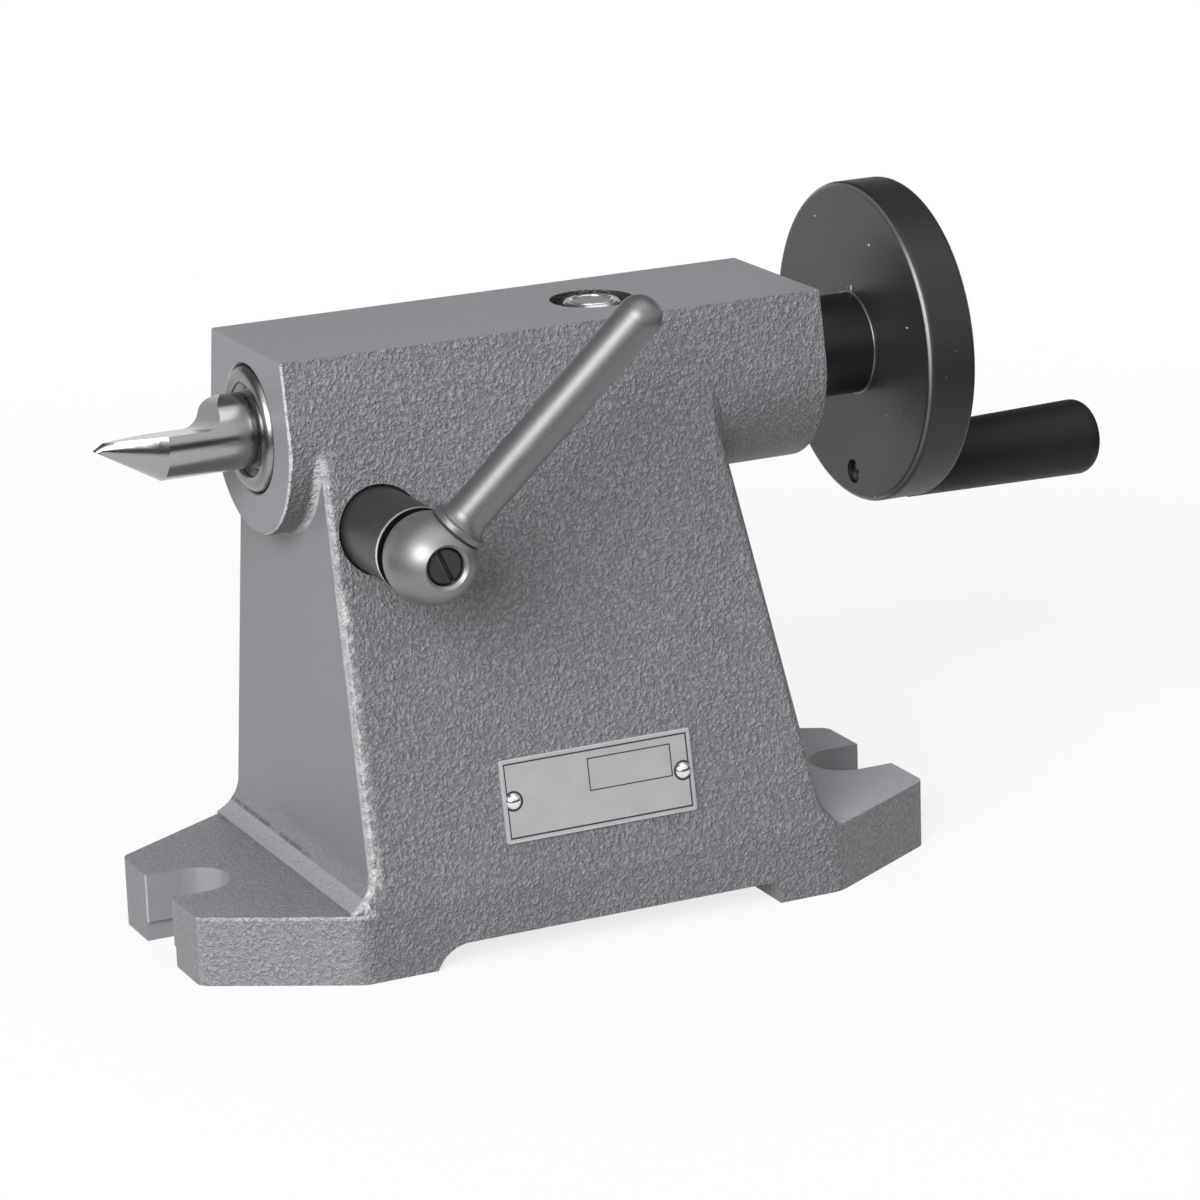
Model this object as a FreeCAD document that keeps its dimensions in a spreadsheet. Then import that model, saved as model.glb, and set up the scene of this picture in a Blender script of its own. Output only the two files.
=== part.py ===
"""Lathe tailstock with a hand-fed quill, a half-centre and a cotter clamp.

Frame: origin on the base plane, under the spindle axis and midway along the base.
+X runs along the spindle from the centre point towards the handwheel, +Z is up,
and the name plate and clamp lever are on the -Y side. Lengths are in millimetres.
"""
import FreeCAD, Part
import math
import os
import re
import Sketcher

Vector = FreeCAD.Vector

# Driving sizes: name, value, meaning
DRIVING = [
    ("centre_height", 125, "spindle axis above the base"),
    ("barrel_radius", 25.2, "rounded underside of the barrel"),
    ("draft_angle", 10, "slope of the casting's sides and rear face, in degrees"),
    ("top_rise", 20, "flat top above the spindle axis"),
    ("barrel_front", 67.5, "front face of the barrel before the origin"),
    ("barrel_rear", 72.5, "rear face of the barrel behind the origin"),
    ("pedestal_front", 60, "front face of the pedestal before the origin"),
    ("pedestal_rear", 60, "rear face of the pedestal, where it meets the foot"),
    ("foot_height", 17, "thickness of the feet"),
    ("foot_reach", 97, "end of each foot from the origin"),
    ("foot_end_half", 25, "half width of a foot at its end"),
    ("taper_ahead", 3, "straight part of a foot beside the pedestal"),
    ("foot_sweep", 9, "hollow between the pedestal and a foot"),
    ("pad_start", 5.4, "milled top of a foot from the pedestal, with a step at the hollow"),
    ("foot_corner", 3.5, "rounding of the foot's corners"),
    ("foot_knee", 8, "rounding where the feet begin to narrow"),
    ("front_edge", 2, "rounding of the pedestal's front corners and the hollow above them"),
    ("rear_edge", 2.5, "rounding of the pedestal's rear corners and the hollow above them"),
    ("soft_edge", 0.8, "small rounding round the barrel's two ends"),
    ("slot_width", 18, "open slot for the holding-down bolt"),
    ("slot_centre", 88, "inner end of the slot, at its centre, from the origin"),
    ("groove_width", 20, "key groove along the base"),
    ("groove_depth", 5, "depth of the key groove"),
    ("arch_front", 44.5, "front end of the relief under the base"),
    ("arch_rear", 46.3, "rear end of the relief under the base"),
    ("arch_depth", 5.6, "height of the relief under the base"),
    ("arch_front_round", 9, "rounding at the relief's front end"),
    ("arch_rear_round", 3.5, "rounding at the relief's rear end"),
    ("running_fit", 0.03, "radial clearance of the quill in its bore"),
    ("turning_fit", 0.05, "radial clearance of turning and sliding pieces"),
    ("seat_fit", 0.02, "radial clearance of pieces fixed in a hole"),
    ("bore_edge", 0.8, "chamfer at the ends of the barrel bore"),
    ("quill_dia", 30, "quill"),
    ("quill_length", 115, "quill"),
    ("quill_proud", 1.5, "quill face before the barrel's front face"),
    ("quill_edge", 2.2, "rounding of the quill's front edge"),
    ("quill_bore", 14, "clearance bore inside the quill"),
    ("taper_dia", 17.78, "large end of the taper socket"),
    ("taper_rate", 0.04995, "change of diameter per length of the taper"),
    ("taper_depth", 64, "depth of the taper socket"),
    ("taper_fit", 0.01, "radial clearance in the taper socket"),
    ("mouth_dia", 22, "countersunk mouth of the socket at the quill's face"),
    ("mouth_floor_dia", 19, "inner end of the countersunk mouth"),
    ("mouth_depth", 2.5, "depth of the countersunk mouth"),
    ("mouth_edge", 1.2, "rounding of the mouth's front edge"),
    ("centre_dia", 18, "plain part of the half-centre"),
    ("centre_out", 37.2, "point of the half-centre before the quill face"),
    ("point_angle", 60, "included angle of the point"),
    ("flat_rise", 1.55, "flat of the half-centre above its axis"),
    ("flat_back", 25.5, "length of the flat from the point"),
    ("flat_sweep", 3.7, "hollow at the end of the flat"),
    ("centre_roll", 10, "flat of the half-centre turned to the rear, in degrees"),
    ("tail_short", 3, "end of the half-centre before the end of the socket"),
    ("keyway_width", 6, "keyway along the top of the quill"),
    ("keyway_depth", 3.5, "depth of the keyway"),
    ("keyway_ahead", 6, "front end of the keyway before the guide screw"),
    ("guide_place", 22, "guide screw behind the origin"),
    ("guide_dia", 14, "head of the guide screw"),
    ("guide_edge", 0.5, "chamfer of the guide screw's head"),
    ("guide_sunk", 0.3, "head of the guide screw below the flat top"),
    ("guide_bite", 3.2, "dog of the guide screw inside the keyway"),
    ("recess_dia", 20.4, "recess round the guide screw"),
    ("recess_depth", 2.4, "depth of that recess"),
    ("oil_cap_dia", 9, "cap in the guide screw's head"),
    ("oil_cap_depth", 2, "depth of the cap's seat"),
    ("oil_hole", 2, "oil hole down the guide screw"),
    ("nut_dia", 22, "feed nut in the quill's rear end"),
    ("nut_length", 16, "feed nut"),
    ("nut_pin_dia", 3, "pin through the quill and the feed nut"),
    ("screw_dia", 12, "feed screw over its thread"),
    ("screw_start", 2, "front end of the feed screw behind the origin"),
    ("collar_dia", 25, "thrust collar of the feed screw"),
    ("collar_front", 50, "front face of the thrust collar behind the origin"),
    ("collar_width", 4, "thrust collar"),
    ("thrust_thick", 1, "thrust washer"),
    ("journal_dia", 14, "journal of the feed screw in the rear bush"),
    ("axial_play", 0.05, "end play of turning pieces"),
    ("lock_dia", 6, "lock screw of the rear bush"),
    ("lock_place", 9, "lock screw before the barrel's rear face"),
    ("lock_bite", 2, "lock screw inside the rear bush"),
    ("hub_gap", 0.3, "handwheel hub behind the barrel's rear face"),
    ("hub_dia", 25, "hub of the handwheel"),
    ("wheel_front", 92.5, "near face of the handwheel behind the origin"),
    ("wheel_dia", 79.8, "rim of the handwheel"),
    ("wheel_thick", 13, "rim of the handwheel"),
    ("wheel_edge", 1.6, "rounding of the rim's edges"),
    ("dish_dia", 44, "dished middle of the wheel's far face"),
    ("dish_depth", 3, "depth of the dish"),
    ("wheel_seat_dia", 12, "feed screw in the handwheel"),
    ("key_width", 4, "key between the feed screw and the handwheel"),
    ("key_length", 14, "key between the feed screw and the handwheel"),
    ("key_sunk", 2, "key below the feed screw's surface"),
    ("stud_dia", 10, "threaded end of the feed screw"),
    ("washer_dia", 21, "washer under the wheel nut"),
    ("washer_thick", 2, "washer under the wheel nut"),
    ("nut_flats", 17, "wheel nut across flats"),
    ("nut_height", 8, "wheel nut"),
    ("stud_show", 1.5, "threaded end beyond the wheel nut"),
    ("crank_inset", 6.9, "grip's axis inside the rim"),
    ("grip_front_dia", 17.2, "grip next to the wheel"),
    ("grip_rear_dia", 19.2, "grip at its far end"),
    ("grip_length", 53, "grip"),
    ("grip_round", 4, "rounding of the grip's far end"),
    ("grip_play", 0.2, "end play of the grip"),
    ("grip_washer_dia", 15, "washer between the wheel and the grip"),
    ("grip_washer_thick", 1.6, "washer between the wheel and the grip"),
    ("shoulder_dia", 7, "shoulder that the grip turns on"),
    ("spindle_head_dia", 10, "head of the grip spindle"),
    ("spindle_head_thick", 3.5, "head of the grip spindle"),
    ("spindle_head_sunk", 5, "head of the grip spindle inside the grip's end"),
    ("spindle_thread_dia", 6, "threaded end of the grip spindle in the wheel"),
    ("spindle_short", 1.2, "end of the spindle inside the wheel's near face"),
    ("clamp_back", 47.25, "clamp axis before the origin"),
    ("clamp_drop", 20.75, "clamp axis below the spindle axis"),
    ("clamp_dia", 20, "clamp sleeve and cotter"),
    ("clamp_split", 1, "half of the gap between the sleeve and the cotter"),
    ("sleeve_out", 49.6, "outer end of the clamp sleeve from the spindle plane"),
    ("cotter_in", 20, "inner end of the cotter from the spindle plane"),
    ("cotter_room", 2, "room behind the cotter"),
    ("clamp_mouth", 0.6, "chamfer of the clamp bore's mouth"),
    ("clamp_screw_dia", 9, "clamp screw over its thread"),
    ("clamp_screw_sunk", 1.3, "slotted end of the clamp screw inside the hub's mouth"),
    ("clamp_screw_edge", 0.55, "chamfer of the clamp screw's slotted end"),
    ("slot_cut", 1.3, "width of a screwdriver slot"),
    ("slot_cut_depth", 1.6, "depth of a screwdriver slot"),
    ("slot_turn", 24, "slot of the clamp screw from the upright, in degrees"),
    ("lever_washer_dia", 20.4, "washer between the sleeve and the lever"),
    ("lever_washer_thick", 1, "washer between the sleeve and the lever"),
    ("ball_dia", 21.8, "ball of the lever's hub"),
    ("ball_out", 6.9, "middle of the ball outside the washer"),
    ("neck_dia", 17, "neck of the hub against the washer"),
    ("hub_mouth_edge", 0.75, "chamfer of the hub's mouth round the clamp screw"),
    ("lever_turn", 49.83, "lever above the horizontal, in degrees"),
    ("lever_tilt", 15, "lever away from the casting, in degrees"),
    ("arm_seat", 8.6, "collar of the arm from the ball's middle"),
    ("arm_collar_dia", 13.4, "collar of the arm"),
    ("arm_collar_thick", 2.3, "collar of the arm"),
    ("arm_collar_edge", 0.7, "chamfer of the collar next to the ball"),
    ("arm_flare", 2.7, "hollow between the collar and the arm"),
    ("arm_root_dia", 10, "arm above its collar"),
    ("arm_tip_dia", 10.5, "arm at its round end"),
    ("arm_reach", 72.4, "middle of the arm's round end from the ball's middle"),
    ("arm_spigot_dia", 6, "threaded end of the arm in the hub"),
    ("arm_spigot_sunk", 2.5, "depth of that end in the hub"),
    ("plate_length", 50, "name plate"),
    ("plate_width", 20, "name plate"),
    ("plate_thick", 0.8, "name plate"),
    ("plate_height", 37.2, "middle of the name plate above the base"),
    ("plate_corner", 0.6, "rounding of the name plate's corners"),
    ("rivet_place", 22.3, "rivets from the middle of the plate"),
    ("rivet_dia", 2.4, "shank of a rivet"),
    ("rivet_head_dia", 4, "head of a rivet"),
    ("rivet_head_rise", 1.2, "height of a rivet's domed head"),
    ("rivet_depth", 4, "shank of a rivet in the casting"),
]

# Sizes worked out from the driving ones, as expressions on their names
TOP = "(centre_height + top_rise)"
QUILL_FRONT = "(-barrel_front - quill_proud)"
QUILL_REAR = f"({QUILL_FRONT} + quill_length)"
BORE_RADIUS = "(quill_dia / 2 + running_fit)"
TAPER_END = f"({QUILL_FRONT} + taper_depth)"
POINT_LENGTH = "(centre_dia / 2 / tan(point_angle / 2))"
TIP = f"({QUILL_FRONT} - centre_out)"
NUT_FRONT = f"({QUILL_REAR} - nut_length)"
COLLAR_REAR = "(collar_front + collar_width)"
BUSH_FRONT = f"({COLLAR_REAR} + thrust_thick + 2 * axial_play)"
HUB_FRONT = "(barrel_rear + hub_gap)"
WHEEL_FAR = "(wheel_front + wheel_thick)"
DISH_FLOOR = f"({WHEEL_FAR} - dish_depth)"
STUD_END = f"({DISH_FLOOR} + washer_thick + nut_height + stud_show)"
GRIP_FRONT = f"({WHEEL_FAR} + grip_washer_thick + grip_play / 2)"
GRIP_REAR = f"({GRIP_FRONT} + grip_length)"
HEAD_FRONT = f"({GRIP_REAR} - spindle_head_sunk - spindle_head_thick)"
WASHER_OUT = "(sleeve_out + lever_washer_thick)"
BALL_PLACE = f"({WASHER_OUT} + ball_out)"
CLAMP_HEIGHT = "(centre_height - clamp_drop)"
SADDLE_RADIUS = "(quill_dia / 2 + turning_fit)"
CLAMP_BORE = "(clamp_screw_dia / 2 + turning_fit)"
HUB_MOUTH = f"(-{BALL_PLACE} - sqrt(ball_dia ^ 2 / 4 - ({CLAMP_BORE} + hub_mouth_edge) ^ 2))"
KEYWAY_FLOOR = "(quill_dia / 2 - keyway_depth)"
CRANK_RADIUS = "(wheel_dia / 2 - crank_inset)"
ARM_TURN = "(rotation(vector(0; 1; 0); 90 - lever_turn) * rotation(vector(1; 0; 0); lever_tilt))"

DOC = FreeCAD.newDocument("tailstock")
SHEET = DOC.addObject("Spreadsheet::Sheet", "Sizes")
NAMES = {name for name, value, meaning in DRIVING}
SUBPARTS = []


def fill_sheet():
    """Write the driving sizes into the sheet, one row each."""
    for row, (name, value, meaning) in enumerate(DRIVING, 1):
        SHEET.set(f"A{row}", meaning)
        SHEET.set(f"B{row}", str(value))
        SHEET.setAlias(f"B{row}", name)
    DOC.recompute()


def bind(text):
    """The expression with each size's name pointed at the sheet."""
    def point(match):
        word = match.group(0)
        return f"Sizes.{word}" if word in NAMES else word
    return re.sub(r"[a-z_]+", point, str(text))


def size(text):
    """The present value of an expression on the driving sizes."""
    return float(SHEET.evalExpression(str(text)))


def wall(height):
    """Half width of the casting's drafted sides at a height above the base."""
    return (f"(barrel_radius / cos(draft_angle)"
            f" + (centre_height - ({height})) * tan(draft_angle))")


PLATE_PLACE = (f"placement(vector(0; -{wall('plate_height')}; plate_height);"
               " rotation(vector(1; 0; 0); 90 - draft_angle))")


def place(thing, x="0", y="0", z="0", turn="rotation(vector(0; 0; 1); 0)"):
    """Give a sub-part its placement, bound to the sheet."""
    thing.setExpression("Placement", bind(f"placement(vector({x}; {y}; {z}); {turn})"))


def keep(thing, label):
    """Name a finished sub-part and put it on the list of pieces."""
    thing.Label = label
    SUBPARTS.append(thing)
    return thing


def new_body(label):
    """An empty body that becomes the sub-part of this name."""
    return keep(DOC.addObject("PartDesign::Body", label), label)


def plane_of(body, role):
    """One of the body's own origin planes."""
    return next(f for f in body.Origin.OriginFeatures if f.Role == role)


def sketch_on(body, role, offset="0"):
    """A sketch on one of the body's own planes, moved along its normal."""
    sketch = body.newObject("Sketcher::SketchObject", body.Name + "_sketch")
    sketch.AttachmentSupport = [(plane_of(body, role), "")]
    sketch.MapMode = "FlatFace"
    sketch.setExpression("AttachmentOffset.Base.z", bind(offset))
    return sketch


def pin_point(sketch, edge, end, x, y):
    """Hold one end of an edge at a place given by two expressions."""
    for kind, text in (("DistanceX", x), ("DistanceY", y)):
        index = sketch.addConstraint(Sketcher.Constraint(kind, -1, 1, edge, end, size(text)))
        sketch.setExpression(f"Constraints[{index}]", bind(text))


def bind_radius(sketch, edge, radius):
    """Hold the radius of a circle or an arc."""
    index = sketch.addConstraint(Sketcher.Constraint("Radius", edge, size(radius)))
    sketch.setExpression(f"Constraints[{index}]", bind(radius))


def arc_between(start, end, radius, turn):
    """The short arc from start to end, turning left (1) or right (-1)."""
    chord = end - start
    half = chord.Length / 2
    side = Vector(-chord.y, chord.x, 0).normalize() * turn
    centre = (start + end) / 2 + side * math.sqrt(max(radius ** 2 - half ** 2, 0))
    middle = centre - side * radius
    return Part.Arc(start, middle, end)


def draw(sketch, path):
    """A closed outline. Each corner is (x, y), or (x, y, radius, turn) to leave it by an arc."""
    corners = [Vector(size(corner[0]), size(corner[1]), 0) for corner in path]
    first = sketch.GeometryCount
    ends = []
    for i, corner in enumerate(path):
        start = corners[i]
        end = corners[(i + 1) % len(path)]
        if len(corner) == 2:
            edge = sketch.addGeometry(Part.LineSegment(start, end), False)
            ends.append((edge, 1, 2))
        else:
            edge = sketch.addGeometry(arc_between(start, end, size(corner[2]), corner[3]), False)
            ends.append((edge, 1, 2) if corner[3] > 0 else (edge, 2, 1))
    for i, (edge, start, end) in enumerate(ends):
        following = ends[(i + 1) % len(ends)]
        sketch.addConstraint(Sketcher.Constraint("Coincident", edge, end, following[0], following[1]))
        pin_point(sketch, edge, start, path[i][0], path[i][1])
        if len(path[i]) > 2:
            bind_radius(sketch, edge, path[i][2])
    return first


def draw_circle(sketch, x, y, radius):
    """A circle about a point."""
    centre = Vector(size(x), size(y), 0)
    edge = sketch.addGeometry(Part.Circle(centre, Vector(0, 0, 1), size(radius)), False)
    pin_point(sketch, edge, 3, x, y)
    bind_radius(sketch, edge, radius)


def pad(body, sketch, length, symmetric=False, reverse=False):
    """Material from a sketch, along its normal."""
    feature = body.newObject("PartDesign::Pad", body.Name + "_pad")
    feature.Profile = sketch
    feature.setExpression("Length", bind(length))
    feature.Midplane = symmetric
    feature.Reversed = reverse
    DOC.recompute()
    return feature


def pocket(body, sketch, length=None, symmetric=False, reverse=False):
    """A cut from a sketch, against its normal, or through everything without a length."""
    before = body.Tip.Shape.Volume
    feature = body.newObject("PartDesign::Pocket", body.Name + "_pocket")
    feature.Profile = sketch
    if length is None:
        feature.Type = "ThroughAll"
    else:
        feature.setExpression("Length", bind(length))
    feature.Midplane = symmetric
    feature.Reversed = reverse
    DOC.recompute()
    if not feature.Shape.Volume < before:
        raise RuntimeError(f"{feature.Name} cuts nothing")
    return feature


def revolve(body, sketch, axis, cut=False):
    """A full turn of a sketch round its horizontal or vertical axis."""
    kind = "PartDesign::Groove" if cut else "PartDesign::Revolution"
    before = body.Tip.Shape.Volume if cut else 0
    feature = body.newObject(kind, body.Name + "_turn")
    feature.Profile = sketch
    feature.ReferenceAxis = (sketch, [axis])
    feature.Angle = 360
    DOC.recompute()
    if cut and not feature.Shape.Volume < before:
        raise RuntimeError(f"{feature.Name} cuts nothing")
    return feature


def soften(body, kind, amount, chosen):
    """A fillet or chamfer on the edges of the body's tip that the test picks."""
    tip = body.Tip
    names = [f"Edge{i}" for i, edge in enumerate(tip.Shape.Edges, 1) if chosen(edge)]
    if not names:
        raise RuntimeError(f"no edge of {body.Label} to soften")
    feature = body.newObject(f"PartDesign::{kind}", body.Name + "_edge")
    feature.Base = (tip, names)
    feature.setExpression("Radius" if kind == "Fillet" else "Size", bind(amount))
    DOC.recompute()
    return feature


def near(a, b, slack=0.01):
    """Are two lengths the same?"""
    return abs(a - b) < slack


def is_circle(edge, radius):
    """Is the edge a circle or an arc of this radius?"""
    return isinstance(edge.Curve, Part.Circle) and near(edge.Curve.Radius, radius)


def spindle_piece(label, profile):
    """A turned piece on the spindle axis, from (x, radius) corners."""
    body = new_body(label)
    sketch = sketch_on(body, "XZ_Plane")
    draw(sketch, profile)
    revolve(body, sketch, "H_Axis")
    place(body, z="centre_height")
    return body


def clamp_piece(label, profile):
    """A turned piece on the clamp axis, from (radius, y) corners."""
    body = new_body(label)
    sketch = sketch_on(body, "XY_Plane")
    draw(sketch, profile)
    revolve(body, sketch, "V_Axis")
    place(body, x="-clamp_back", z=CLAMP_HEIGHT)
    return body


def ring(near_end, far_end, inner, outer):
    """Corners of a plain ring or bush between two places on its axis."""
    return [(near_end, inner), (far_end, inner), (far_end, outer), (near_end, outer)]


def casting_profile(body):
    """Side view of the feet and the pedestal, as wide as the base."""
    lean = "tan(draft_angle)"
    rear_top = f"pedestal_rear - ({TOP} - foot_height) * {lean}"
    sweep_out = "foot_sweep * tan((90 - draft_angle) / 2)"
    sweep_rise = f"{sweep_out} * cos(draft_angle)"
    sweep_back = f"{sweep_out} * sin(draft_angle)"
    front_step = "foot_sweep - sqrt(foot_sweep ^ 2 - (foot_sweep - pad_start) ^ 2)"
    rear_step = f"foot_sweep - sqrt(foot_sweep ^ 2 - ({sweep_out} - pad_start) ^ 2)"
    sketch = sketch_on(body, "XZ_Plane")
    draw(sketch, [
        ("-foot_reach", "0"),
        ("foot_reach", "0"),
        ("foot_reach", "foot_height"),
        ("pedestal_rear + pad_start", "foot_height"),
        ("pedestal_rear + pad_start", f"foot_height + {rear_step}", "foot_sweep", -1),
        (f"pedestal_rear - {sweep_back}", f"foot_height + {sweep_rise}"),
        (rear_top, TOP),
        ("-pedestal_front", TOP),
        ("-pedestal_front", "foot_height + foot_sweep", "foot_sweep", -1),
        ("-pedestal_front - pad_start", f"foot_height + {front_step}"),
        ("-pedestal_front - pad_start", "foot_height"),
        ("-foot_reach", "foot_height"),
    ])
    pad(body, sketch, f"4 * {wall('0')}", symmetric=True)


def casting_sides(body):
    """The drafted sides, cut away on both sides of the side view's full width."""
    outside = f"3 * {wall('0')}"
    sketch = sketch_on(body, "YZ_Plane")
    for side in ("-", ""):
        draw(sketch, [
            (f"{side}{wall('foot_height')}", "-foot_height"),
            (f"{side}{outside}", "-foot_height"),
            (f"{side}{outside}", f"{TOP} + top_rise"),
            (f"{side}{wall(TOP)}", f"{TOP} + top_rise"),
            (f"{side}{wall(TOP)}", TOP),
            (f"{side}{wall('foot_height')}", "foot_height"),
        ])
    pocket(body, sketch, symmetric=True)


def casting_plan(body):
    """The feet narrowed towards their ends, seen from above."""
    sketch = sketch_on(body, "XY_Plane")
    outside = f"3 * {wall('0')}"
    for end, face in (("-", "pedestal_front"), ("", "pedestal_rear")):
        for side in ("-", ""):
            draw(sketch, [
                (f"{end}({face} + taper_ahead)", f"{side}{wall('foot_height')}"),
                (f"{end}foot_reach", f"{side}foot_end_half"),
                (f"{end}2 * foot_reach", f"{side}foot_end_half"),
                (f"{end}2 * foot_reach", f"{side}{outside}"),
                (f"{end}({face} + taper_ahead)", f"{side}{outside}"),
            ])
    pocket(body, sketch, symmetric=True)


def casting_barrel(body):
    """The barrel's section: a flat top, drafted sides and a round underside tangent to them."""
    touch_y = "barrel_radius * cos(draft_angle)"
    touch_z = "centre_height + barrel_radius * sin(draft_angle)"
    sketch = sketch_on(body, "YZ_Plane", "-barrel_front")
    draw(sketch, [
        (wall(TOP), TOP),
        (f"-{wall(TOP)}", TOP),
        (f"-{touch_y}", touch_z, "barrel_radius", 1),
        ("0", "centre_height - barrel_radius", "barrel_radius", 1),
        (touch_y, touch_z),
    ])
    pad(body, sketch, "barrel_front + barrel_rear")


def casting_edges(body):
    """Rounded corners and hollows of the casting, before anything is machined."""
    boss_low = size("centre_height - barrel_radius")
    touch = size("centre_height + barrel_radius * sin(draft_angle)")
    foot = size("foot_height")

    def pedestal_corner(edge):
        box = edge.BoundBox
        return box.ZMax - box.ZMin > size("centre_height / 2") and near(box.ZMax, touch)

    def boss_hollow(edge):
        box = edge.BoundBox
        round_under = near(box.ZMin, boss_low) and near(box.ZMax, touch)
        return round_under and box.YMin < 0 < box.YMax

    def foot_end(edge):
        box = edge.BoundBox
        return near(box.ZLength, foot) and near(abs(box.XMin), size("foot_reach"))

    def foot_knee(edge):
        box = edge.BoundBox
        starts = (size("-pedestal_front - taper_ahead"), size("pedestal_rear + taper_ahead"))
        return near(box.ZLength, foot) and any(near(box.XMin, start) for start in starts)

    def barrel_end(edge):
        box = edge.BoundBox
        flat = near(box.XMin, box.XMax)
        return flat and (near(box.XMin, size("-barrel_front")) or near(box.XMax, size("barrel_rear")))

    soften(body, "Fillet", "foot_knee", foot_knee)
    soften(body, "Fillet", "foot_corner", foot_end)
    for side, amount in ((-1, "front_edge"), (1, "rear_edge")):
        soften(body, "Fillet", amount, lambda edge: side * edge.CenterOfMass.x > 0
               and (pedestal_corner(edge) or boss_hollow(edge)))
    soften(body, "Fillet", "soft_edge", barrel_end)


def base_cuts(body):
    """The relief, the key groove and the two open bolt slots."""
    sketch = sketch_on(body, "XZ_Plane")
    run = "sqrt(arch_front_round ^ 2 - (arch_front_round - arch_depth) ^ 2)"
    draw(sketch, [
        ("-arch_front", "0", "arch_front_round", -1),
        (f"-arch_front + {run}", "arch_depth"),
        ("arch_rear - arch_rear_round", "arch_depth", "arch_rear_round", -1),
        ("arch_rear", "arch_depth - arch_rear_round"),
        ("arch_rear", "-arch_depth"),
        ("-arch_front", "-arch_depth"),
    ])
    pocket(body, sketch, symmetric=True)
    sketch = sketch_on(body, "YZ_Plane")
    draw(sketch, [
        ("-groove_width / 2", "-groove_depth"),
        ("groove_width / 2", "-groove_depth"),
        ("groove_width / 2", "groove_depth"),
        ("-groove_width / 2", "groove_depth"),
    ])
    pocket(body, sketch, symmetric=True)
    sketch = sketch_on(body, "XY_Plane")
    for end, turn in (("", 1), ("-", -1)):
        draw(sketch, [
            (f"{end}2 * foot_reach", "slot_width / 2"),
            (f"{end}slot_centre", "slot_width / 2", "slot_width / 2", turn),
            (f"{end}(slot_centre - slot_width / 2)", "0", "slot_width / 2", turn),
            (f"{end}slot_centre", "-slot_width / 2"),
            (f"{end}2 * foot_reach", "-slot_width / 2"),
        ])
    pocket(body, sketch, symmetric=True)


def barrel_bore(body):
    """The bore for the quill and the rear bush, chamfered at both ends."""
    sketch = sketch_on(body, "YZ_Plane")
    draw_circle(sketch, "0", "centre_height", BORE_RADIUS)
    pocket(body, sketch, symmetric=True)
    radius = size(BORE_RADIUS)
    soften(body, "Chamfer", "bore_edge", lambda edge: is_circle(edge, radius))


def clamp_bore(body):
    """The cross bore for the clamp sleeve and cotter, from the lever's side."""
    sketch = sketch_on(body, "XZ_Plane", "-cotter_in - cotter_room")
    draw_circle(sketch, "-clamp_back", CLAMP_HEIGHT, "clamp_dia / 2 + turning_fit")
    pocket(body, sketch, "2 * sleeve_out", reverse=True)
    face = size(f"-{wall(CLAMP_HEIGHT)}")
    reach = size("clamp_dia")

    def mouth(edge):
        at = edge.CenterOfMass
        small = edge.BoundBox.XLength < 1.2 * reach and edge.BoundBox.ZLength < 1.2 * reach
        return small and near(at.y, face, 1) and near(at.x, size("-clamp_back"), 1)

    soften(body, "Chamfer", "clamp_mouth", mouth)


def small_holes(body):
    """The guide screw's recess and hole, the lock screw's hole and the rivets' holes."""
    sketch = sketch_on(body, "XY_Plane", TOP)
    draw_circle(sketch, "guide_place", "0", "recess_dia / 2")
    pocket(body, sketch, "recess_depth")
    sketch = sketch_on(body, "XY_Plane", TOP)
    draw_circle(sketch, "guide_place", "0", "guide_dia / 2 + seat_fit")
    pocket(body, sketch, "top_rise")
    sketch = sketch_on(body, "XZ_Plane")
    draw_circle(sketch, "barrel_rear - lock_place", "centre_height", "lock_dia / 2 + seat_fit")
    pocket(body, sketch, "2 * barrel_radius")
    sketch = sketch_on(body, "XY_Plane")
    sketch.setExpression("AttachmentOffset", bind(PLATE_PLACE))
    draw_circle(sketch, "-rivet_place", "0", "rivet_dia / 2 + seat_fit")
    draw_circle(sketch, "rivet_place", "0", "rivet_dia / 2 + seat_fit")
    pocket(body, sketch, "rivet_depth")


def make_casting():
    """The one-piece casting: feet, pedestal and barrel."""
    body = new_body("tailstock_body")
    casting_profile(body)
    casting_sides(body)
    casting_plan(body)
    casting_barrel(body)
    casting_edges(body)
    base_cuts(body)
    barrel_bore(body)
    clamp_bore(body)
    small_holes(body)


def make_nameplate():
    """The bare plate, flat on the drafted face."""
    body = new_body("nameplate")
    sketch = sketch_on(body, "XY_Plane")
    draw(sketch, [
        ("-plate_length / 2", "-plate_width / 2"),
        ("plate_length / 2", "-plate_width / 2"),
        ("plate_length / 2", "plate_width / 2"),
        ("-plate_length / 2", "plate_width / 2"),
    ])
    draw_circle(sketch, "-rivet_place", "0", "rivet_dia / 2 + seat_fit")
    draw_circle(sketch, "rivet_place", "0", "rivet_dia / 2 + seat_fit")
    pad(body, sketch, "plate_thick")
    soften(body, "Fillet", "plate_corner", lambda edge: edge.BoundBox.XLength < 0.01
           and near(edge.BoundBox.ZLength, size("plate_thick")) and abs(edge.CenterOfMass.y) > 5)
    body.setExpression("Placement", bind(PLATE_PLACE))


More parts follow.
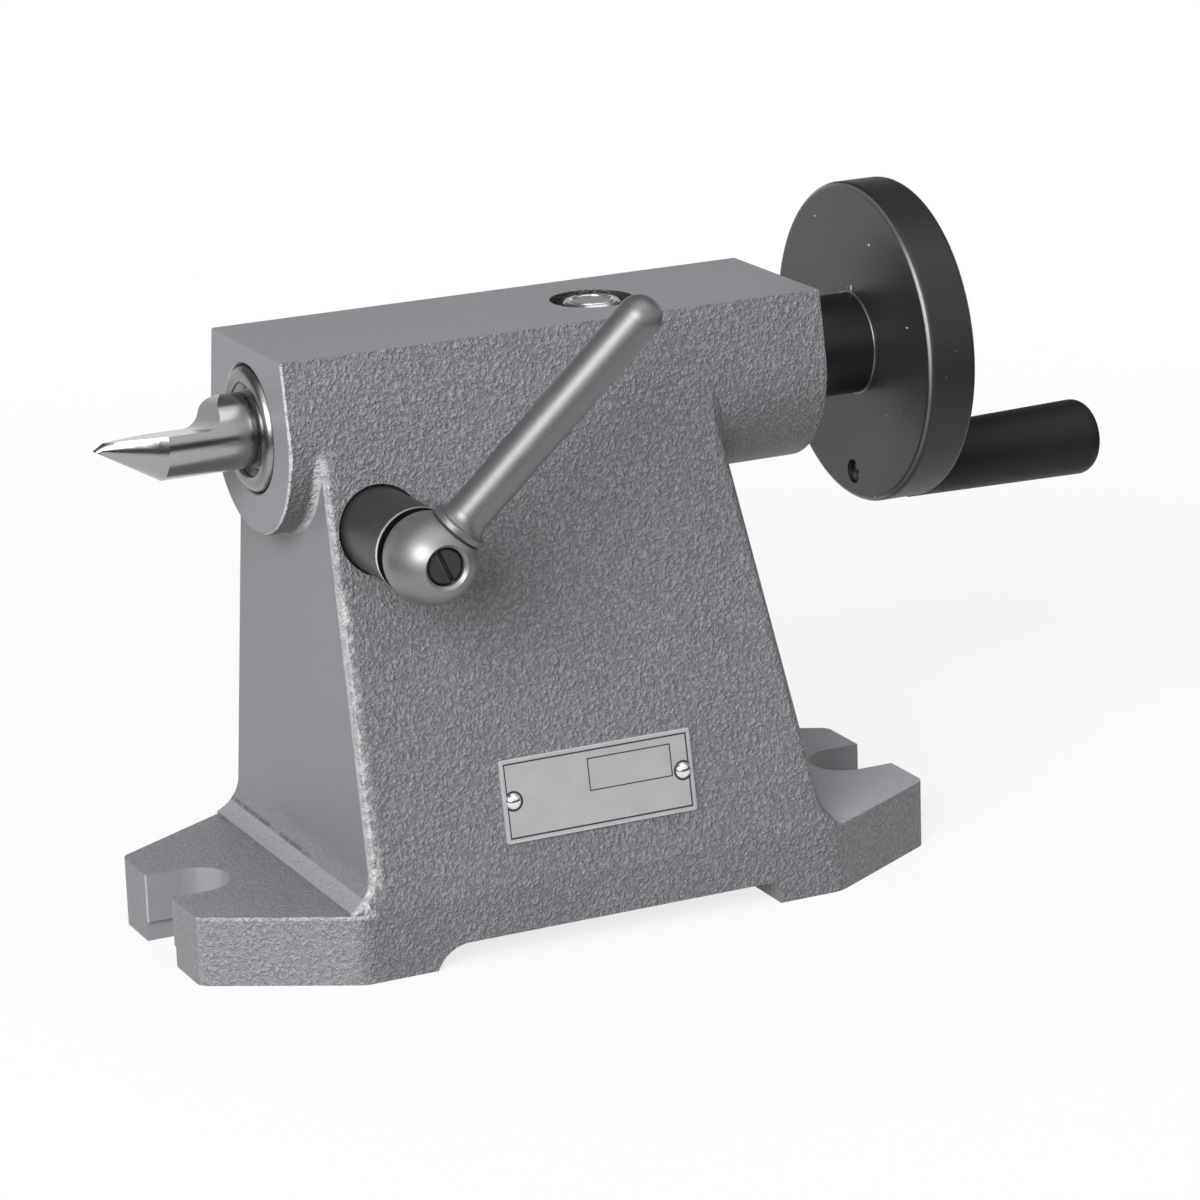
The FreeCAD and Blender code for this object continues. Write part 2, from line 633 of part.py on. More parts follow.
def make_rivets():
    """The two rivets: one turned about its own axis, and its copy along the plate."""
    body = new_body("nameplate_rivets")
    body.AllowCompound = True
    sketch = sketch_on(body, "XZ_Plane")
    sketch.setExpression("AttachmentOffset.Base.x", bind("-rivet_place"))
    dome = "(rivet_head_dia ^ 2 / 4 + rivet_head_rise ^ 2) / (2 * rivet_head_rise)"
    draw(sketch, [
        ("0", "-rivet_depth + axial_play"),
        ("rivet_dia / 2", "-rivet_depth + axial_play"),
        ("rivet_dia / 2", "plate_thick"),
        ("rivet_head_dia / 2", "plate_thick", dome, 1),
        ("0", "plate_thick + rivet_head_rise"),
    ])
    revolve(body, sketch, "V_Axis")
    pattern = body.newObject("PartDesign::LinearPattern", "rivets_row")
    pattern.Originals = [body.Tip]
    pattern.Direction = (sketch, ["H_Axis"])
    pattern.setExpression("Length", bind("2 * rivet_place"))
    pattern.Occurrences = 2
    body.Tip = pattern
    body.setExpression("Placement", bind(PLATE_PLACE))


def make_quill():
    """The quill: taper socket in front, seat for the feed nut behind, keyway on top."""
    socket_start = f"({QUILL_FRONT} + mouth_depth)"
    body = spindle_piece("quill", [
        (QUILL_FRONT, "mouth_dia / 2 + mouth_edge", "mouth_edge", 1),
        (f"{QUILL_FRONT} + mouth_edge", "mouth_dia / 2"),
        (socket_start, "mouth_floor_dia / 2"),
        (socket_start, "(taper_dia - taper_rate * mouth_depth) / 2"),
        (TAPER_END, "(taper_dia - taper_rate * taper_depth) / 2"),
        (TAPER_END, "quill_bore / 2"),
        (NUT_FRONT, "quill_bore / 2"),
        (NUT_FRONT, "nut_dia / 2 + seat_fit"),
        (QUILL_REAR, "nut_dia / 2 + seat_fit"),
        (QUILL_REAR, "quill_dia / 2"),
        (f"{QUILL_FRONT} + quill_edge", "quill_dia / 2", "quill_edge", 1),
        (QUILL_FRONT, "quill_dia / 2 - quill_edge"),
    ])
    sketch = sketch_on(body, "XY_Plane", KEYWAY_FLOOR)
    keyway_end = "(guide_place - keyway_ahead + keyway_width / 2)"
    draw(sketch, [
        (f"{QUILL_REAR} + quill_dia", "keyway_width / 2"),
        (keyway_end, "keyway_width / 2", "keyway_width / 2", 1),
        (f"{keyway_end} - keyway_width / 2", "0", "keyway_width / 2", 1),
        (keyway_end, "-keyway_width / 2"),
        (f"{QUILL_REAR} + quill_dia", "-keyway_width / 2"),
    ])
    pocket(body, sketch, "quill_dia", reverse=True)
    pin_hole(body)


def pin_hole(body):
    """The hole for the nut's pin, from below."""
    sketch = sketch_on(body, "XY_Plane", "-nut_dia / 2 + nut_pin_dia")
    draw_circle(sketch, f"{QUILL_REAR} - nut_length / 2", "0", "nut_pin_dia / 2 + seat_fit")
    pocket(body, sketch, "quill_dia")


def make_half_center():
    """The half-centre: 60 degree point with a flat above its axis, taper behind."""
    shoulder = f"({QUILL_FRONT} + mouth_depth - axial_play)"
    tail = f"({TAPER_END} - tail_short)"
    body = spindle_piece("half_center", [
        (TIP, "0"),
        (tail, "0"),
        (tail, "(taper_dia - taper_rate * (taper_depth - tail_short)) / 2 - taper_fit"),
        (shoulder, "(taper_dia - taper_rate * (mouth_depth - axial_play)) / 2 - taper_fit"),
        (shoulder, "centre_dia / 2"),
        (f"{TIP} + {POINT_LENGTH}", "centre_dia / 2"),
    ])
    flat_end = f"({TIP} + flat_back)"
    crown = "(centre_dia / 2 + axial_play - flat_rise - flat_sweep)"
    sketch = sketch_on(body, "XZ_Plane")
    draw(sketch, [
        (f"{TIP} - flat_back", "flat_rise"),
        (flat_end, "flat_rise", "flat_sweep", 1),
        (f"{flat_end} + flat_sweep", "flat_rise + flat_sweep", crown, -1),
        (f"{flat_end} + flat_sweep + {crown}", f"flat_rise + flat_sweep + {crown}"),
        (f"{flat_end} + flat_sweep + {crown}", "centre_dia"),
        (f"{TIP} - flat_back", "centre_dia"),
    ])
    pocket(body, sketch, symmetric=True)
    place(body, z="centre_height", turn="rotation(vector(1; 0; 0); -centre_roll)")


def make_feed_nut():
    """The bronze nut pinned in the quill's rear end."""
    bore = "screw_dia / 2 + turning_fit"
    body = spindle_piece("feed_nut", ring(NUT_FRONT, QUILL_REAR, bore, "nut_dia / 2"))
    pin_hole(body)


def make_nut_pin():
    """The pin through the quill's wall into the feed nut."""
    pin = keep(DOC.addObject("Part::Cylinder", "nut_pin"), "nut_pin")
    pin.setExpression("Radius", bind("nut_pin_dia / 2"))
    pin.setExpression("Height", bind("(quill_dia - nut_dia) / 2 + nut_pin_dia - 3 * seat_fit"))
    place(pin, x=f"{QUILL_REAR} - nut_length / 2", z="centre_height - quill_dia / 2 + 2 * seat_fit")


def make_guide_screw():
    """The round plug on top, whose dog keeps the quill from turning."""
    head_top = f"({TOP} - guide_sunk - centre_height)"
    head_floor = "(quill_dia / 2 + 3 * turning_fit)"
    cap_floor = f"({head_top} - oil_cap_depth)"
    dog_end = "(quill_dia / 2 - guide_bite)"
    body = new_body("guide_screw")
    sketch = sketch_on(body, "XZ_Plane")
    draw(sketch, [
        ("oil_hole / 2", dog_end),
        ("keyway_width / 2 - turning_fit", dog_end),
        ("keyway_width / 2 - turning_fit", head_floor),
        ("guide_dia / 2", head_floor),
        ("guide_dia / 2", f"{head_top} - guide_edge"),
        ("guide_dia / 2 - guide_edge", head_top),
        ("oil_cap_dia / 2 + seat_fit", head_top),
        ("oil_cap_dia / 2 + seat_fit", cap_floor),
        ("oil_hole / 2", cap_floor),
    ])
    revolve(body, sketch, "V_Axis")
    place(body, x="guide_place", z="centre_height")


def make_oil_cap():
    """The disc in the guide screw's head, a little below its rim."""
    cap = keep(DOC.addObject("Part::Cylinder", "oil_cap"), "oil_cap")
    cap.setExpression("Radius", bind("oil_cap_dia / 2"))
    cap.setExpression("Height", bind("oil_cap_depth - 0.4 * guide_sunk"))
    place(cap, x="guide_place", z=f"{TOP} - guide_sunk - oil_cap_depth")


def make_feed_screw():
    """The screw with its thrust collar, journal, wheel seat and threaded end."""
    body = spindle_piece("feed_screw", [
        ("screw_start", "0"),
        (STUD_END, "0"),
        (STUD_END, "stud_dia / 2 - 1"),
        (f"{STUD_END} - 1", "stud_dia / 2"),
        (f"{DISH_FLOOR} - hub_gap", "stud_dia / 2"),
        (f"{DISH_FLOOR} - hub_gap", "wheel_seat_dia / 2"),
        (HUB_FRONT, "wheel_seat_dia / 2"),
        (HUB_FRONT, "journal_dia / 2"),
        (COLLAR_REAR, "journal_dia / 2"),
        (COLLAR_REAR, "collar_dia / 2"),
        ("collar_front", "collar_dia / 2"),
        ("collar_front", "screw_dia / 2"),
        ("screw_start + 1", "screw_dia / 2"),
        ("screw_start", "screw_dia / 2 - 1"),
    ])
    sketch = sketch_on(body, "XY_Plane", "wheel_seat_dia / 2 - key_sunk")
    draw(sketch, key_outline("axial_play"))
    pocket(body, sketch, "quill_dia", reverse=True)


def key_outline(room):
    """The key's plan, larger by some room on each side."""
    start = f"({HUB_FRONT} + (wheel_front - {HUB_FRONT} - key_length) / 2)"
    return [
        (f"{start} - {room}", f"-key_width / 2 - {room}"),
        (f"{start} + key_length + {room}", f"-key_width / 2 - {room}"),
        (f"{start} + key_length + {room}", f"key_width / 2 + {room}"),
        (f"{start} - {room}", f"key_width / 2 + {room}"),
    ]


def make_wheel_key():
    """The square key between the feed screw and the handwheel."""
    body = new_body("wheel_key")
    sketch = sketch_on(body, "XY_Plane", "wheel_seat_dia / 2 - key_sunk")
    draw(sketch, key_outline("0"))
    pad(body, sketch, "key_width")
    place(body, z="centre_height")


def make_thrust_pieces():
    """The thrust washer and the bush that closes the barrel."""
    bore = "journal_dia / 2 + turning_fit"
    washer_front = f"({COLLAR_REAR} + axial_play)"
    washer_rear = f"({washer_front} + thrust_thick)"
    spindle_piece("thrust_washer", ring(washer_front, washer_rear, bore, "collar_dia / 2"))
    bush = spindle_piece("rear_bush", ring(BUSH_FRONT, "barrel_rear", bore, "quill_dia / 2"))
    sketch = sketch_on(bush, "XZ_Plane", "-quill_dia / 2 + lock_bite")
    draw_circle(sketch, "barrel_rear - lock_place", "0", "lock_dia / 2 + seat_fit")
    pocket(bush, sketch, "quill_dia")


def make_lock_screw():
    """The set screw that holds the bush, with a hexagon socket."""
    inner = "quill_dia / 2 - lock_bite + axial_play"
    outer = f"{wall('centre_height')} - lock_dia / 3"
    body = new_body("bush_lock_screw")
    sketch = sketch_on(body, "XZ_Plane", f"-({inner})")
    draw_circle(sketch, "0", "0", "lock_dia / 2")
    pad(body, sketch, f"{outer} - ({inner})", reverse=True)
    sketch = sketch_on(body, "XZ_Plane", f"-({outer})")
    draw(sketch, hexagon("lock_dia / 2"))
    pocket(body, sketch, "lock_dia / 2", reverse=True)
    place(body, x="barrel_rear - lock_place", z="centre_height")


def hexagon(flats):
    """Corners of a hexagon from its width across flats."""
    reach = f"(({flats}) / 2 / cos(30))"
    return [(f"{reach} * cos({turn})", f"{reach} * sin({turn})") for turn in range(0, 360, 60)]


def make_handwheel():
    """The plain wheel: hub in front, dished middle behind."""
    body = spindle_piece("handwheel", [
        (HUB_FRONT, "wheel_seat_dia / 2 + seat_fit"),
        (DISH_FLOOR, "wheel_seat_dia / 2 + seat_fit"),
        (DISH_FLOOR, "dish_dia / 2"),
        (WHEEL_FAR, "dish_dia / 2"),
        (WHEEL_FAR, "wheel_dia / 2 - wheel_edge", "wheel_edge", 1),
        (f"{WHEEL_FAR} - wheel_edge", "wheel_dia / 2"),
        ("wheel_front + wheel_edge", "wheel_dia / 2", "wheel_edge", 1),
        ("wheel_front", "wheel_dia / 2 - wheel_edge"),
        ("wheel_front", "hub_dia / 2"),
        (HUB_FRONT, "hub_dia / 2"),
    ])
    sketch = sketch_on(body, "YZ_Plane")
    top = "wheel_seat_dia / 2 - key_sunk + key_width + seat_fit"
    draw(sketch, [
        ("-key_width / 2 - seat_fit", "0"),
        ("key_width / 2 + seat_fit", "0"),
        ("key_width / 2 + seat_fit", top),
        ("-key_width / 2 - seat_fit", top),
    ])
    pocket(body, sketch, symmetric=True)
    sketch = sketch_on(body, "YZ_Plane")
    draw_circle(sketch, "0", f"-{CRANK_RADIUS}", "spindle_thread_dia / 2 + seat_fit")
    pocket(body, sketch, symmetric=True)


def make_wheel_fasteners():
    """The washer and the nut on the wheel's far side."""
    bore = "stud_dia / 2 + seat_fit"
    washer_end = f"({DISH_FLOOR} + washer_thick)"
    spindle_piece("wheel_washer", ring(DISH_FLOOR, washer_end, bore, "washer_dia / 2"))
    body = new_body("wheel_nut")
    sketch = sketch_on(body, "YZ_Plane", washer_end)
    draw(sketch, hexagon("nut_flats"))
    draw_circle(sketch, "0", "0", bore)
    pad(body, sketch, "nut_height")
    place(body, z="centre_height")


def crank_piece(label, profile):
    """A turned piece on the grip's axis, from (x, radius) corners."""
    body = new_body(label)
    sketch = sketch_on(body, "XZ_Plane")
    draw(sketch, profile)
    revolve(body, sketch, "H_Axis")
    place(body, z=f"centre_height - {CRANK_RADIUS}")
    return body


def make_grip():
    """The turning grip, its washer and the shoulder screw that it turns on."""
    bore = "shoulder_dia / 2 + turning_fit"
    head_room = "spindle_head_dia / 2 + 3 * turning_fit"
    floor = f"({HEAD_FRONT} - grip_play / 2)"
    crank_piece("grip", [
        (GRIP_FRONT, bore),
        (floor, bore),
        (floor, head_room),
        (GRIP_REAR, head_room),
        (GRIP_REAR, "grip_rear_dia / 2 - grip_round", "grip_round", 1),
        (f"{GRIP_REAR} - grip_round", "grip_rear_dia / 2"),
        (GRIP_FRONT, "grip_front_dia / 2"),
    ])
    washer_end = f"({WHEEL_FAR} + grip_washer_thick)"
    crank_piece("grip_washer", ring(WHEEL_FAR, washer_end, bore, "grip_washer_dia / 2"))
    head_end = f"({HEAD_FRONT} + spindle_head_thick)"
    body = crank_piece("grip_spindle", [
        ("wheel_front + spindle_short", "0"),
        (head_end, "0"),
        (head_end, "spindle_head_dia / 2"),
        (HEAD_FRONT, "spindle_head_dia / 2"),
        (HEAD_FRONT, "shoulder_dia / 2"),
        (WHEEL_FAR, "shoulder_dia / 2"),
        (WHEEL_FAR, "spindle_thread_dia / 2"),
        ("wheel_front + spindle_short", "spindle_thread_dia / 2"),
    ])
    sketch = sketch_on(body, "YZ_Plane", head_end)
    draw(sketch, slot_outline("spindle_head_dia"))
    pocket(body, sketch, "slot_cut_depth")


def slot_outline(length):
    """A screwdriver slot across a head."""
    return [
        ("-slot_cut / 2", f"-({length})"),
        ("slot_cut / 2", f"-({length})"),
        ("slot_cut / 2", length),
        ("-slot_cut / 2", length),
    ]


def saddle(body):
    """The hollow in a clamp piece that bears on the quill."""
    sketch = sketch_on(body, "YZ_Plane")
    draw_circle(sketch, "0", "clamp_drop", SADDLE_RADIUS)
    pocket(body, sketch, symmetric=True)


def make_quill_clamp():
    """The fixed sleeve, the sliding cotter, the screw through both and its washer."""
    sleeve = clamp_piece("clamp_sleeve", [
        (CLAMP_BORE, "-sleeve_out"),
        ("clamp_dia / 2", "-sleeve_out"),
        ("clamp_dia / 2", "-clamp_split"),
        (CLAMP_BORE, "-clamp_split"),
    ])
    saddle(sleeve)
    cotter = clamp_piece("clamp_cotter", [
        (CLAMP_BORE, "clamp_split"),
        ("clamp_dia / 2", "clamp_split"),
        ("clamp_dia / 2", "cotter_in"),
        (CLAMP_BORE, "cotter_in"),
    ])
    saddle(cotter)
    clamp_piece("lever_washer", [
        (CLAMP_BORE, "-sleeve_out"),
        ("lever_washer_dia / 2", "-sleeve_out"),
        ("lever_washer_dia / 2", f"-{WASHER_OUT}"),
        (CLAMP_BORE, f"-{WASHER_OUT}"),
    ])
    screw_end = f"({HUB_MOUTH} + clamp_screw_sunk)"
    screw = clamp_piece("clamp_screw", [
        ("0", screw_end),
        ("clamp_screw_dia / 2 - clamp_screw_edge", screw_end),
        ("clamp_screw_dia / 2", f"{screw_end} + clamp_screw_edge"),
        ("clamp_screw_dia / 2", "cotter_in - clamp_split"),
        ("0", "cotter_in - clamp_split"),
    ])
    sketch = sketch_on(screw, "XZ_Plane")
    sketch.setExpression("AttachmentOffset", bind(
        f"placement(vector(0; 0; -{screw_end}); rotation(vector(0; 0; 1); slot_turn))"))
    draw(sketch, slot_outline("clamp_screw_dia"))
    pocket(screw, sketch, "slot_cut_depth")


def make_lever_hub():
    """The ball hub: neck against the washer, flat and hole for the arm."""
    neck_end = f"(-{BALL_PLACE} + sqrt(ball_dia ^ 2 / 4 - neck_dia ^ 2 / 4))"
    body = clamp_piece("lever_hub", [
        (CLAMP_BORE, f"-{WASHER_OUT}"),
        ("neck_dia / 2", f"-{WASHER_OUT}"),
        ("neck_dia / 2", neck_end, "ball_dia / 2", -1),
        (f"{CLAMP_BORE} + hub_mouth_edge", HUB_MOUTH),
        (CLAMP_BORE, f"{HUB_MOUTH} + hub_mouth_edge"),
    ])
    seat = (f"placement(vector(0; -{BALL_PLACE}; 0) + {ARM_TURN} * vector(0; 0; arm_seat);"
            f" {ARM_TURN})")
    sketch = sketch_on(body, "XY_Plane")
    sketch.setExpression("AttachmentOffset", bind(seat))
    draw_circle(sketch, "0", "0", "ball_dia / 2")
    pocket(body, sketch, "ball_dia / 2", reverse=True)
    sketch = sketch_on(body, "XY_Plane")
    sketch.setExpression("AttachmentOffset", bind(seat))
    draw_circle(sketch, "0", "0", "arm_spigot_dia / 2 + seat_fit")
    pocket(body, sketch, "arm_spigot_sunk + 2 * seat_fit")


def make_lever_arm():
    """The arm: threaded end, rounded collar, long shank and round end."""
    body = new_body("lever_arm")
    sketch = sketch_on(body, "XZ_Plane")
    collar_end = "(arm_seat + arm_collar_thick)"
    edge = "(arm_collar_thick / 3)"
    draw(sketch, [
        ("0", "arm_seat - arm_spigot_sunk"),
        ("arm_spigot_dia / 2", "arm_seat - arm_spigot_sunk"),
        ("arm_spigot_dia / 2", "arm_seat"),
        ("arm_collar_dia / 2 - arm_collar_edge", "arm_seat"),
        ("arm_collar_dia / 2", "arm_seat + arm_collar_edge"),
        ("arm_collar_dia / 2", f"{collar_end} - {edge}", edge, 1),
        (f"arm_collar_dia / 2 - {edge}", collar_end, "1.5 * arm_flare", -1),
        ("arm_root_dia / 2", f"{collar_end} + arm_flare"),
        ("arm_tip_dia / 2", "arm_reach", "arm_tip_dia / 2", 1),
        ("0", "arm_reach + arm_tip_dia / 2"),
    ])
    revolve(body, sketch, "V_Axis")
    place(body, x="-clamp_back", y=f"-{BALL_PLACE}", z=CLAMP_HEIGHT, turn=ARM_TURN)


def check_and_export():
    """Stop if anything failed, then write one file for each sub-part."""
    DOC.recompute()
    for thing in DOC.Objects:
        if "Invalid" in thing.State or "Error" in thing.State:
            raise RuntimeError(f"{thing.Label} failed: {thing.State}")
    os.makedirs("parts", exist_ok=True)
    for thing in SUBPARTS:
        if thing.Shape.isNull() or not thing.Shape.isValid():
            raise RuntimeError(f"{thing.Label} has no valid shape")
    for thing in SUBPARTS:
        thing.Shape.exportStep(f"parts/{thing.Label}.step")
        print(thing.Label, len(thing.Shape.Solids), round(thing.Shape.Volume, 1))


fill_sheet()
make_casting()
make_nameplate()
make_rivets()
make_quill()
make_half_center()
make_feed_nut()
make_nut_pin()
make_guide_screw()
make_oil_cap()
make_feed_screw()
make_wheel_key()
make_thrust_pieces()
make_lock_screw()
make_handwheel()
make_wheel_fasteners()
make_grip()
make_quill_clamp()
make_lever_hub()
make_lever_arm()
check_and_export()
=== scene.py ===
"""Lathe tailstock, dressed for the camera.

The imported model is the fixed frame: every piece here rides on one of its bodies.
Lengths are in metres, +X runs from the centre point towards the handwheel, +Z is up
and the name plate and the clamp lever are on the -Y side.
"""
from __future__ import annotations

import logging
import math
from dataclasses import dataclass, field
from enum import Enum
from typing import Callable, Dict, List, Optional, Sequence, Tuple, Union

import bmesh
import bpy
from mathutils import Matrix, Vector

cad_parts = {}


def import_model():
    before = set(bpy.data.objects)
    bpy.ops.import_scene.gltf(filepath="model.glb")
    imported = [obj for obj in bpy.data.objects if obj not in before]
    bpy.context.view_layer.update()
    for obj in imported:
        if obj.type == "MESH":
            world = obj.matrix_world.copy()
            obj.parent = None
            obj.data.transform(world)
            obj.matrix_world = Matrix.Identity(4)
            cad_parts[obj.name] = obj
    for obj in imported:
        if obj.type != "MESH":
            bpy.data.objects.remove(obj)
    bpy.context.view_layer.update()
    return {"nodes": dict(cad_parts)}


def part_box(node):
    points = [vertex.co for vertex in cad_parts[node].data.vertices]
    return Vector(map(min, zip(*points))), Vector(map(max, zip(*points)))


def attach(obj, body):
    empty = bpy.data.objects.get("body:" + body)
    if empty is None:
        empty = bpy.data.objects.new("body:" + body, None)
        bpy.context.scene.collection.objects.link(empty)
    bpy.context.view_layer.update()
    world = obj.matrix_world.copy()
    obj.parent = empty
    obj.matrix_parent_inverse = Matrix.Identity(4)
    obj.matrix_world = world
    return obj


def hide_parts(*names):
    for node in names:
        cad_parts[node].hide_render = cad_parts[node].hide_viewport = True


LOG = logging.getLogger("tailstock")
Colour = Tuple[float, float, float]
Point = Tuple[float, float, float]
Place = Tuple[float, float]
Key = Union[int, str]
Bound = Tuple[str, float, float]
MM = 0.001
SHARP_ANGLE = math.radians(32.0)
AXIS_HEIGHT = 0.125
SPINDLE_AXIS: Point = (0.0, 0.0, AXIS_HEIGHT)
CLAMP_AXIS: Point = (-0.04725, 0.0, 0.10425)
GUIDE_AXIS: Point = (0.022, 0.0, 0.145)
GRIP_AXIS: Point = (0.13, 0.0, 0.092)


class Slot(Enum):
    """The record's material slots."""

    CASTING = "casting_paint"
    PLATE = "plate_aluminium"
    RIVET = "rivet_steel"
    POLISHED = "polished_steel"
    MACHINED = "machined_steel"
    DARK = "dark_steel"
    BRONZE = "bronze"
    WHEEL = "wheel_black"
    GRIP = "grip_black"
    LEVER = "lever_silver"
    CAP = "oil_cap_grey"


class Body(Enum):
    """The bodies that the scene's own pieces ride on."""

    HOUSING = "housing"
    HANDWHEEL = "handwheel"


class Axis(Enum):
    """Turned pieces' axes, as the turn that brings the axis to the pattern's Z."""

    ALONG_X = (0.0, math.pi / 2, 0.0)
    ALONG_Y = (math.pi / 2, 0.0, 0.0)
    ALONG_Z = (0.0, 0.0, 0.0)


def operator(operation: str, swapped: bool = False) -> Callable[["Wire", "Number"], "Wire"]:
    """An operator of Wire.

    Args:
        operation: the Math node's operation.
        swapped: whether the other number stands on the left.

    Returns:
        A method that adds the Math node.
    """

    def apply(wire: "Wire", other: "Number") -> "Wire":
        """The result of one Math node."""
        pair = (other, wire) if swapped else (wire, other)
        return wire.tree.math(operation, *pair)

    return apply


@dataclass(frozen=True)
class Wire:
    """A number in a node tree: arithmetic on it adds Math nodes."""

    tree: "ShaderTree"
    socket: bpy.types.NodeSocket

    __add__ = operator("ADD")
    __radd__ = operator("ADD", swapped=True)
    __sub__ = operator("SUBTRACT")
    __rsub__ = operator("SUBTRACT", swapped=True)
    __mul__ = operator("MULTIPLY")
    __rmul__ = operator("MULTIPLY", swapped=True)
    __truediv__ = operator("DIVIDE")

    def __abs__(self) -> "Wire":
        """Size without sign."""
        return self.tree.math("ABSOLUTE", self)


Number = Union[float, Wire]
Value = Union[float, Sequence[float], Wire, bpy.types.NodeSocket]


class ShaderTree:
    """A node tree and the few ways in which this file adds nodes to it."""

    def __init__(self, tree: bpy.types.NodeTree) -> None:
        """Empty the tree.

        Args:
            tree: the node tree of a material or of the world.
        """
        self.tree = tree
        tree.nodes.clear()

    def node(
        self,
        kind: str,
        settings: Optional[Dict[str, object]] = None,
        inputs: Optional[Dict[Key, Value]] = None,
    ) -> bpy.types.Node:
        """Add one node.

        Args:
            kind: the node's type without its "ShaderNode".
            settings: the node's own settings, set before its sockets.
            inputs: socket name or number to a value or a link.

        Returns:
            The new node.
        """
        made = self.tree.nodes.new("ShaderNode" + kind)
        for name, value in (settings or {}).items():
            setattr(made, name, value)
        for key, value in (inputs or {}).items():
            self.feed(made.inputs[key], value)
        return made

    def feed(self, socket: bpy.types.NodeSocket, value: Value) -> None:
        """Give a socket a link or a plain value."""
        if isinstance(value, Wire):
            self.tree.links.new(value.socket, socket)
        elif isinstance(value, bpy.types.NodeSocket):
            self.tree.links.new(value, socket)
        else:
            socket.default_value = value

    def math(self, operation: str, *values: Number) -> Wire:
        """One Math node.

        Args:
            operation: the node's operation.
            values: its inputs in order.

        Returns:
            The result as a wire.
        """
        made = self.node("Math", {"operation": operation}, dict(enumerate(values)))
        return Wire(self, made.outputs[0])

    def vector(self, operation: str, *values: Value) -> bpy.types.NodeSocket:
        """One Vector Math node; the result is its vector."""
        made = self.node("VectorMath", {"operation": operation}, dict(enumerate(values)))
        return made.outputs["Vector"]

    def length(self, value: Value) -> Wire:
        """The length of a vector."""
        made = self.node("VectorMath", {"operation": "LENGTH"}, {0: value})
        return Wire(self, made.outputs["Value"])

    def mix(self, factor: Number, first: Value, second: Value) -> bpy.types.NodeSocket:
        """A colour between two colours.

        Args:
            factor: 0 gives the first, 1 the second.
            first: a colour or a link.
            second: a colour or a link.

        Returns:
            The colour's socket.
        """
        settings = {"data_type": "RGBA", "clamp_factor": True}
        made = self.node("Mix", settings, {0: factor, 6: rgba(first), 7: rgba(second)})
        return made.outputs[2]

    def blend(
        self, factor: Number, first: bpy.types.Node, second: bpy.types.Node
    ) -> bpy.types.Node:
        """A shader between two shaders."""
        values = {0: factor, 1: first.outputs[0], 2: second.outputs[0]}
        return self.node("MixShader", inputs=values)

    def smooth(self, value: Number, low: float, high: float) -> Wire:
        """A soft step from 0 to 1 between two values."""
        values = {"Value": value, "From Min": low, "From Max": high}
        made = self.node("MapRange", {"interpolation_type": "SMOOTHSTEP"}, values)
        return Wire(self, made.outputs["Result"])

    def parts(self, vector: Value) -> Tuple[Wire, Wire, Wire]:
        """The three numbers of a vector."""
        made = self.node("SeparateXYZ", inputs={0: vector})
        return tuple(Wire(self, output) for output in made.outputs)

    def join(self, x: Number, y: Number, z: Number) -> bpy.types.NodeSocket:
        """A vector of three numbers."""
        return self.node("CombineXYZ", inputs={0: x, 1: y, 2: z}).outputs[0]

    def noise(
        self, vector: Value, grain: float, detail: float = 2.0, rough: float = 0.5,
        twist: float = 0.0,
    ) -> Wire:
        """Cloudy noise between 0 and 1.

        Args:
            vector: coordinates in millimetres.
            grain: the size of a cloud in millimetres.
            detail: finer layers on top.
            rough: strength of those layers.
            twist: how far the pattern is bent.

        Returns:
            The noise.
        """
        values = {"Vector": vector, "Scale": 1.0 / grain, "Detail": detail}
        values.update({"Roughness": rough, "Distortion": twist})
        return Wire(self, self.node("TexNoise", inputs=values).outputs["Fac"])

    def cells(self, vector: Value, size: float, bend: float) -> Wire:
        """Rounded grains that touch each other.

        Args:
            vector: coordinates in millimetres.
            size: the width of a grain in millimetres.
            bend: how far the grains are pushed out of shape, in millimetres.

        Returns:
            0 in the middle of a grain, higher towards its edge.
        """
        values = {"Vector": vector, "Scale": 0.7 / size, "Detail": 1.0}
        drift = self.node("TexNoise", inputs=values).outputs["Color"]
        centred = self.vector("SUBTRACT", drift, (0.5, 0.5, 0.5))
        pushed = self.vector("ADD", vector, self.vector("MULTIPLY", centred, (4 * bend,) * 3))
        values = {"Vector": pushed, "Scale": 1.0 / size, "Smoothness": 0.5}
        made = self.node("TexVoronoi", {"feature": "SMOOTH_F1"}, values)
        return Wire(self, made.outputs["Distance"])

    def millimetres(
        self, centre: Point = (0, 0, 0), axis: Axis = Axis.ALONG_Z
    ) -> bpy.types.NodeSocket:
        """Object coordinates in millimetres about a centre.

        Args:
            centre: the pattern's centre in metres.
            axis: the direction that becomes the pattern's Z.

        Returns:
            The coordinates.
        """
        spot = self.node("TexCoord").outputs["Object"]
        moved = self.vector("SUBTRACT", spot, tuple(centre))
        settings = {"vector_type": "POINT"}
        values = {"Vector": moved, "Rotation": axis.value, "Scale": (1000.0, 1000.0, 1000.0)}
        return self.node("Mapping", settings, values).outputs[0]

    def bump(
        self, height: Value, depth: float, normal: Optional[Value] = None
    ) -> bpy.types.NodeSocket:
        """A Bump node.

        Args:
            height: the relief, 0 to 1.
            depth: what a height of 1 stands for, in millimetres.
            normal: a coarser bump below this one.

        Returns:
            The normal.
        """
        values: Dict[Key, Value] = {"Height": height, "Distance": depth * MM}
        if normal is not None:
            values["Normal"] = normal
        return self.node("Bump", inputs=values).outputs[0]


def rgba(colour: Value) -> Value:
    """A plain colour with its fourth number; a link stays as it is."""
    if isinstance(colour, (Wire, bpy.types.NodeSocket)):
        return colour
    return (*colour, 1.0)


def shade(colour: Colour, factor: float) -> Colour:
    """A colour made darker or lighter."""
    return tuple(min(part * factor, 1.0) for part in colour)


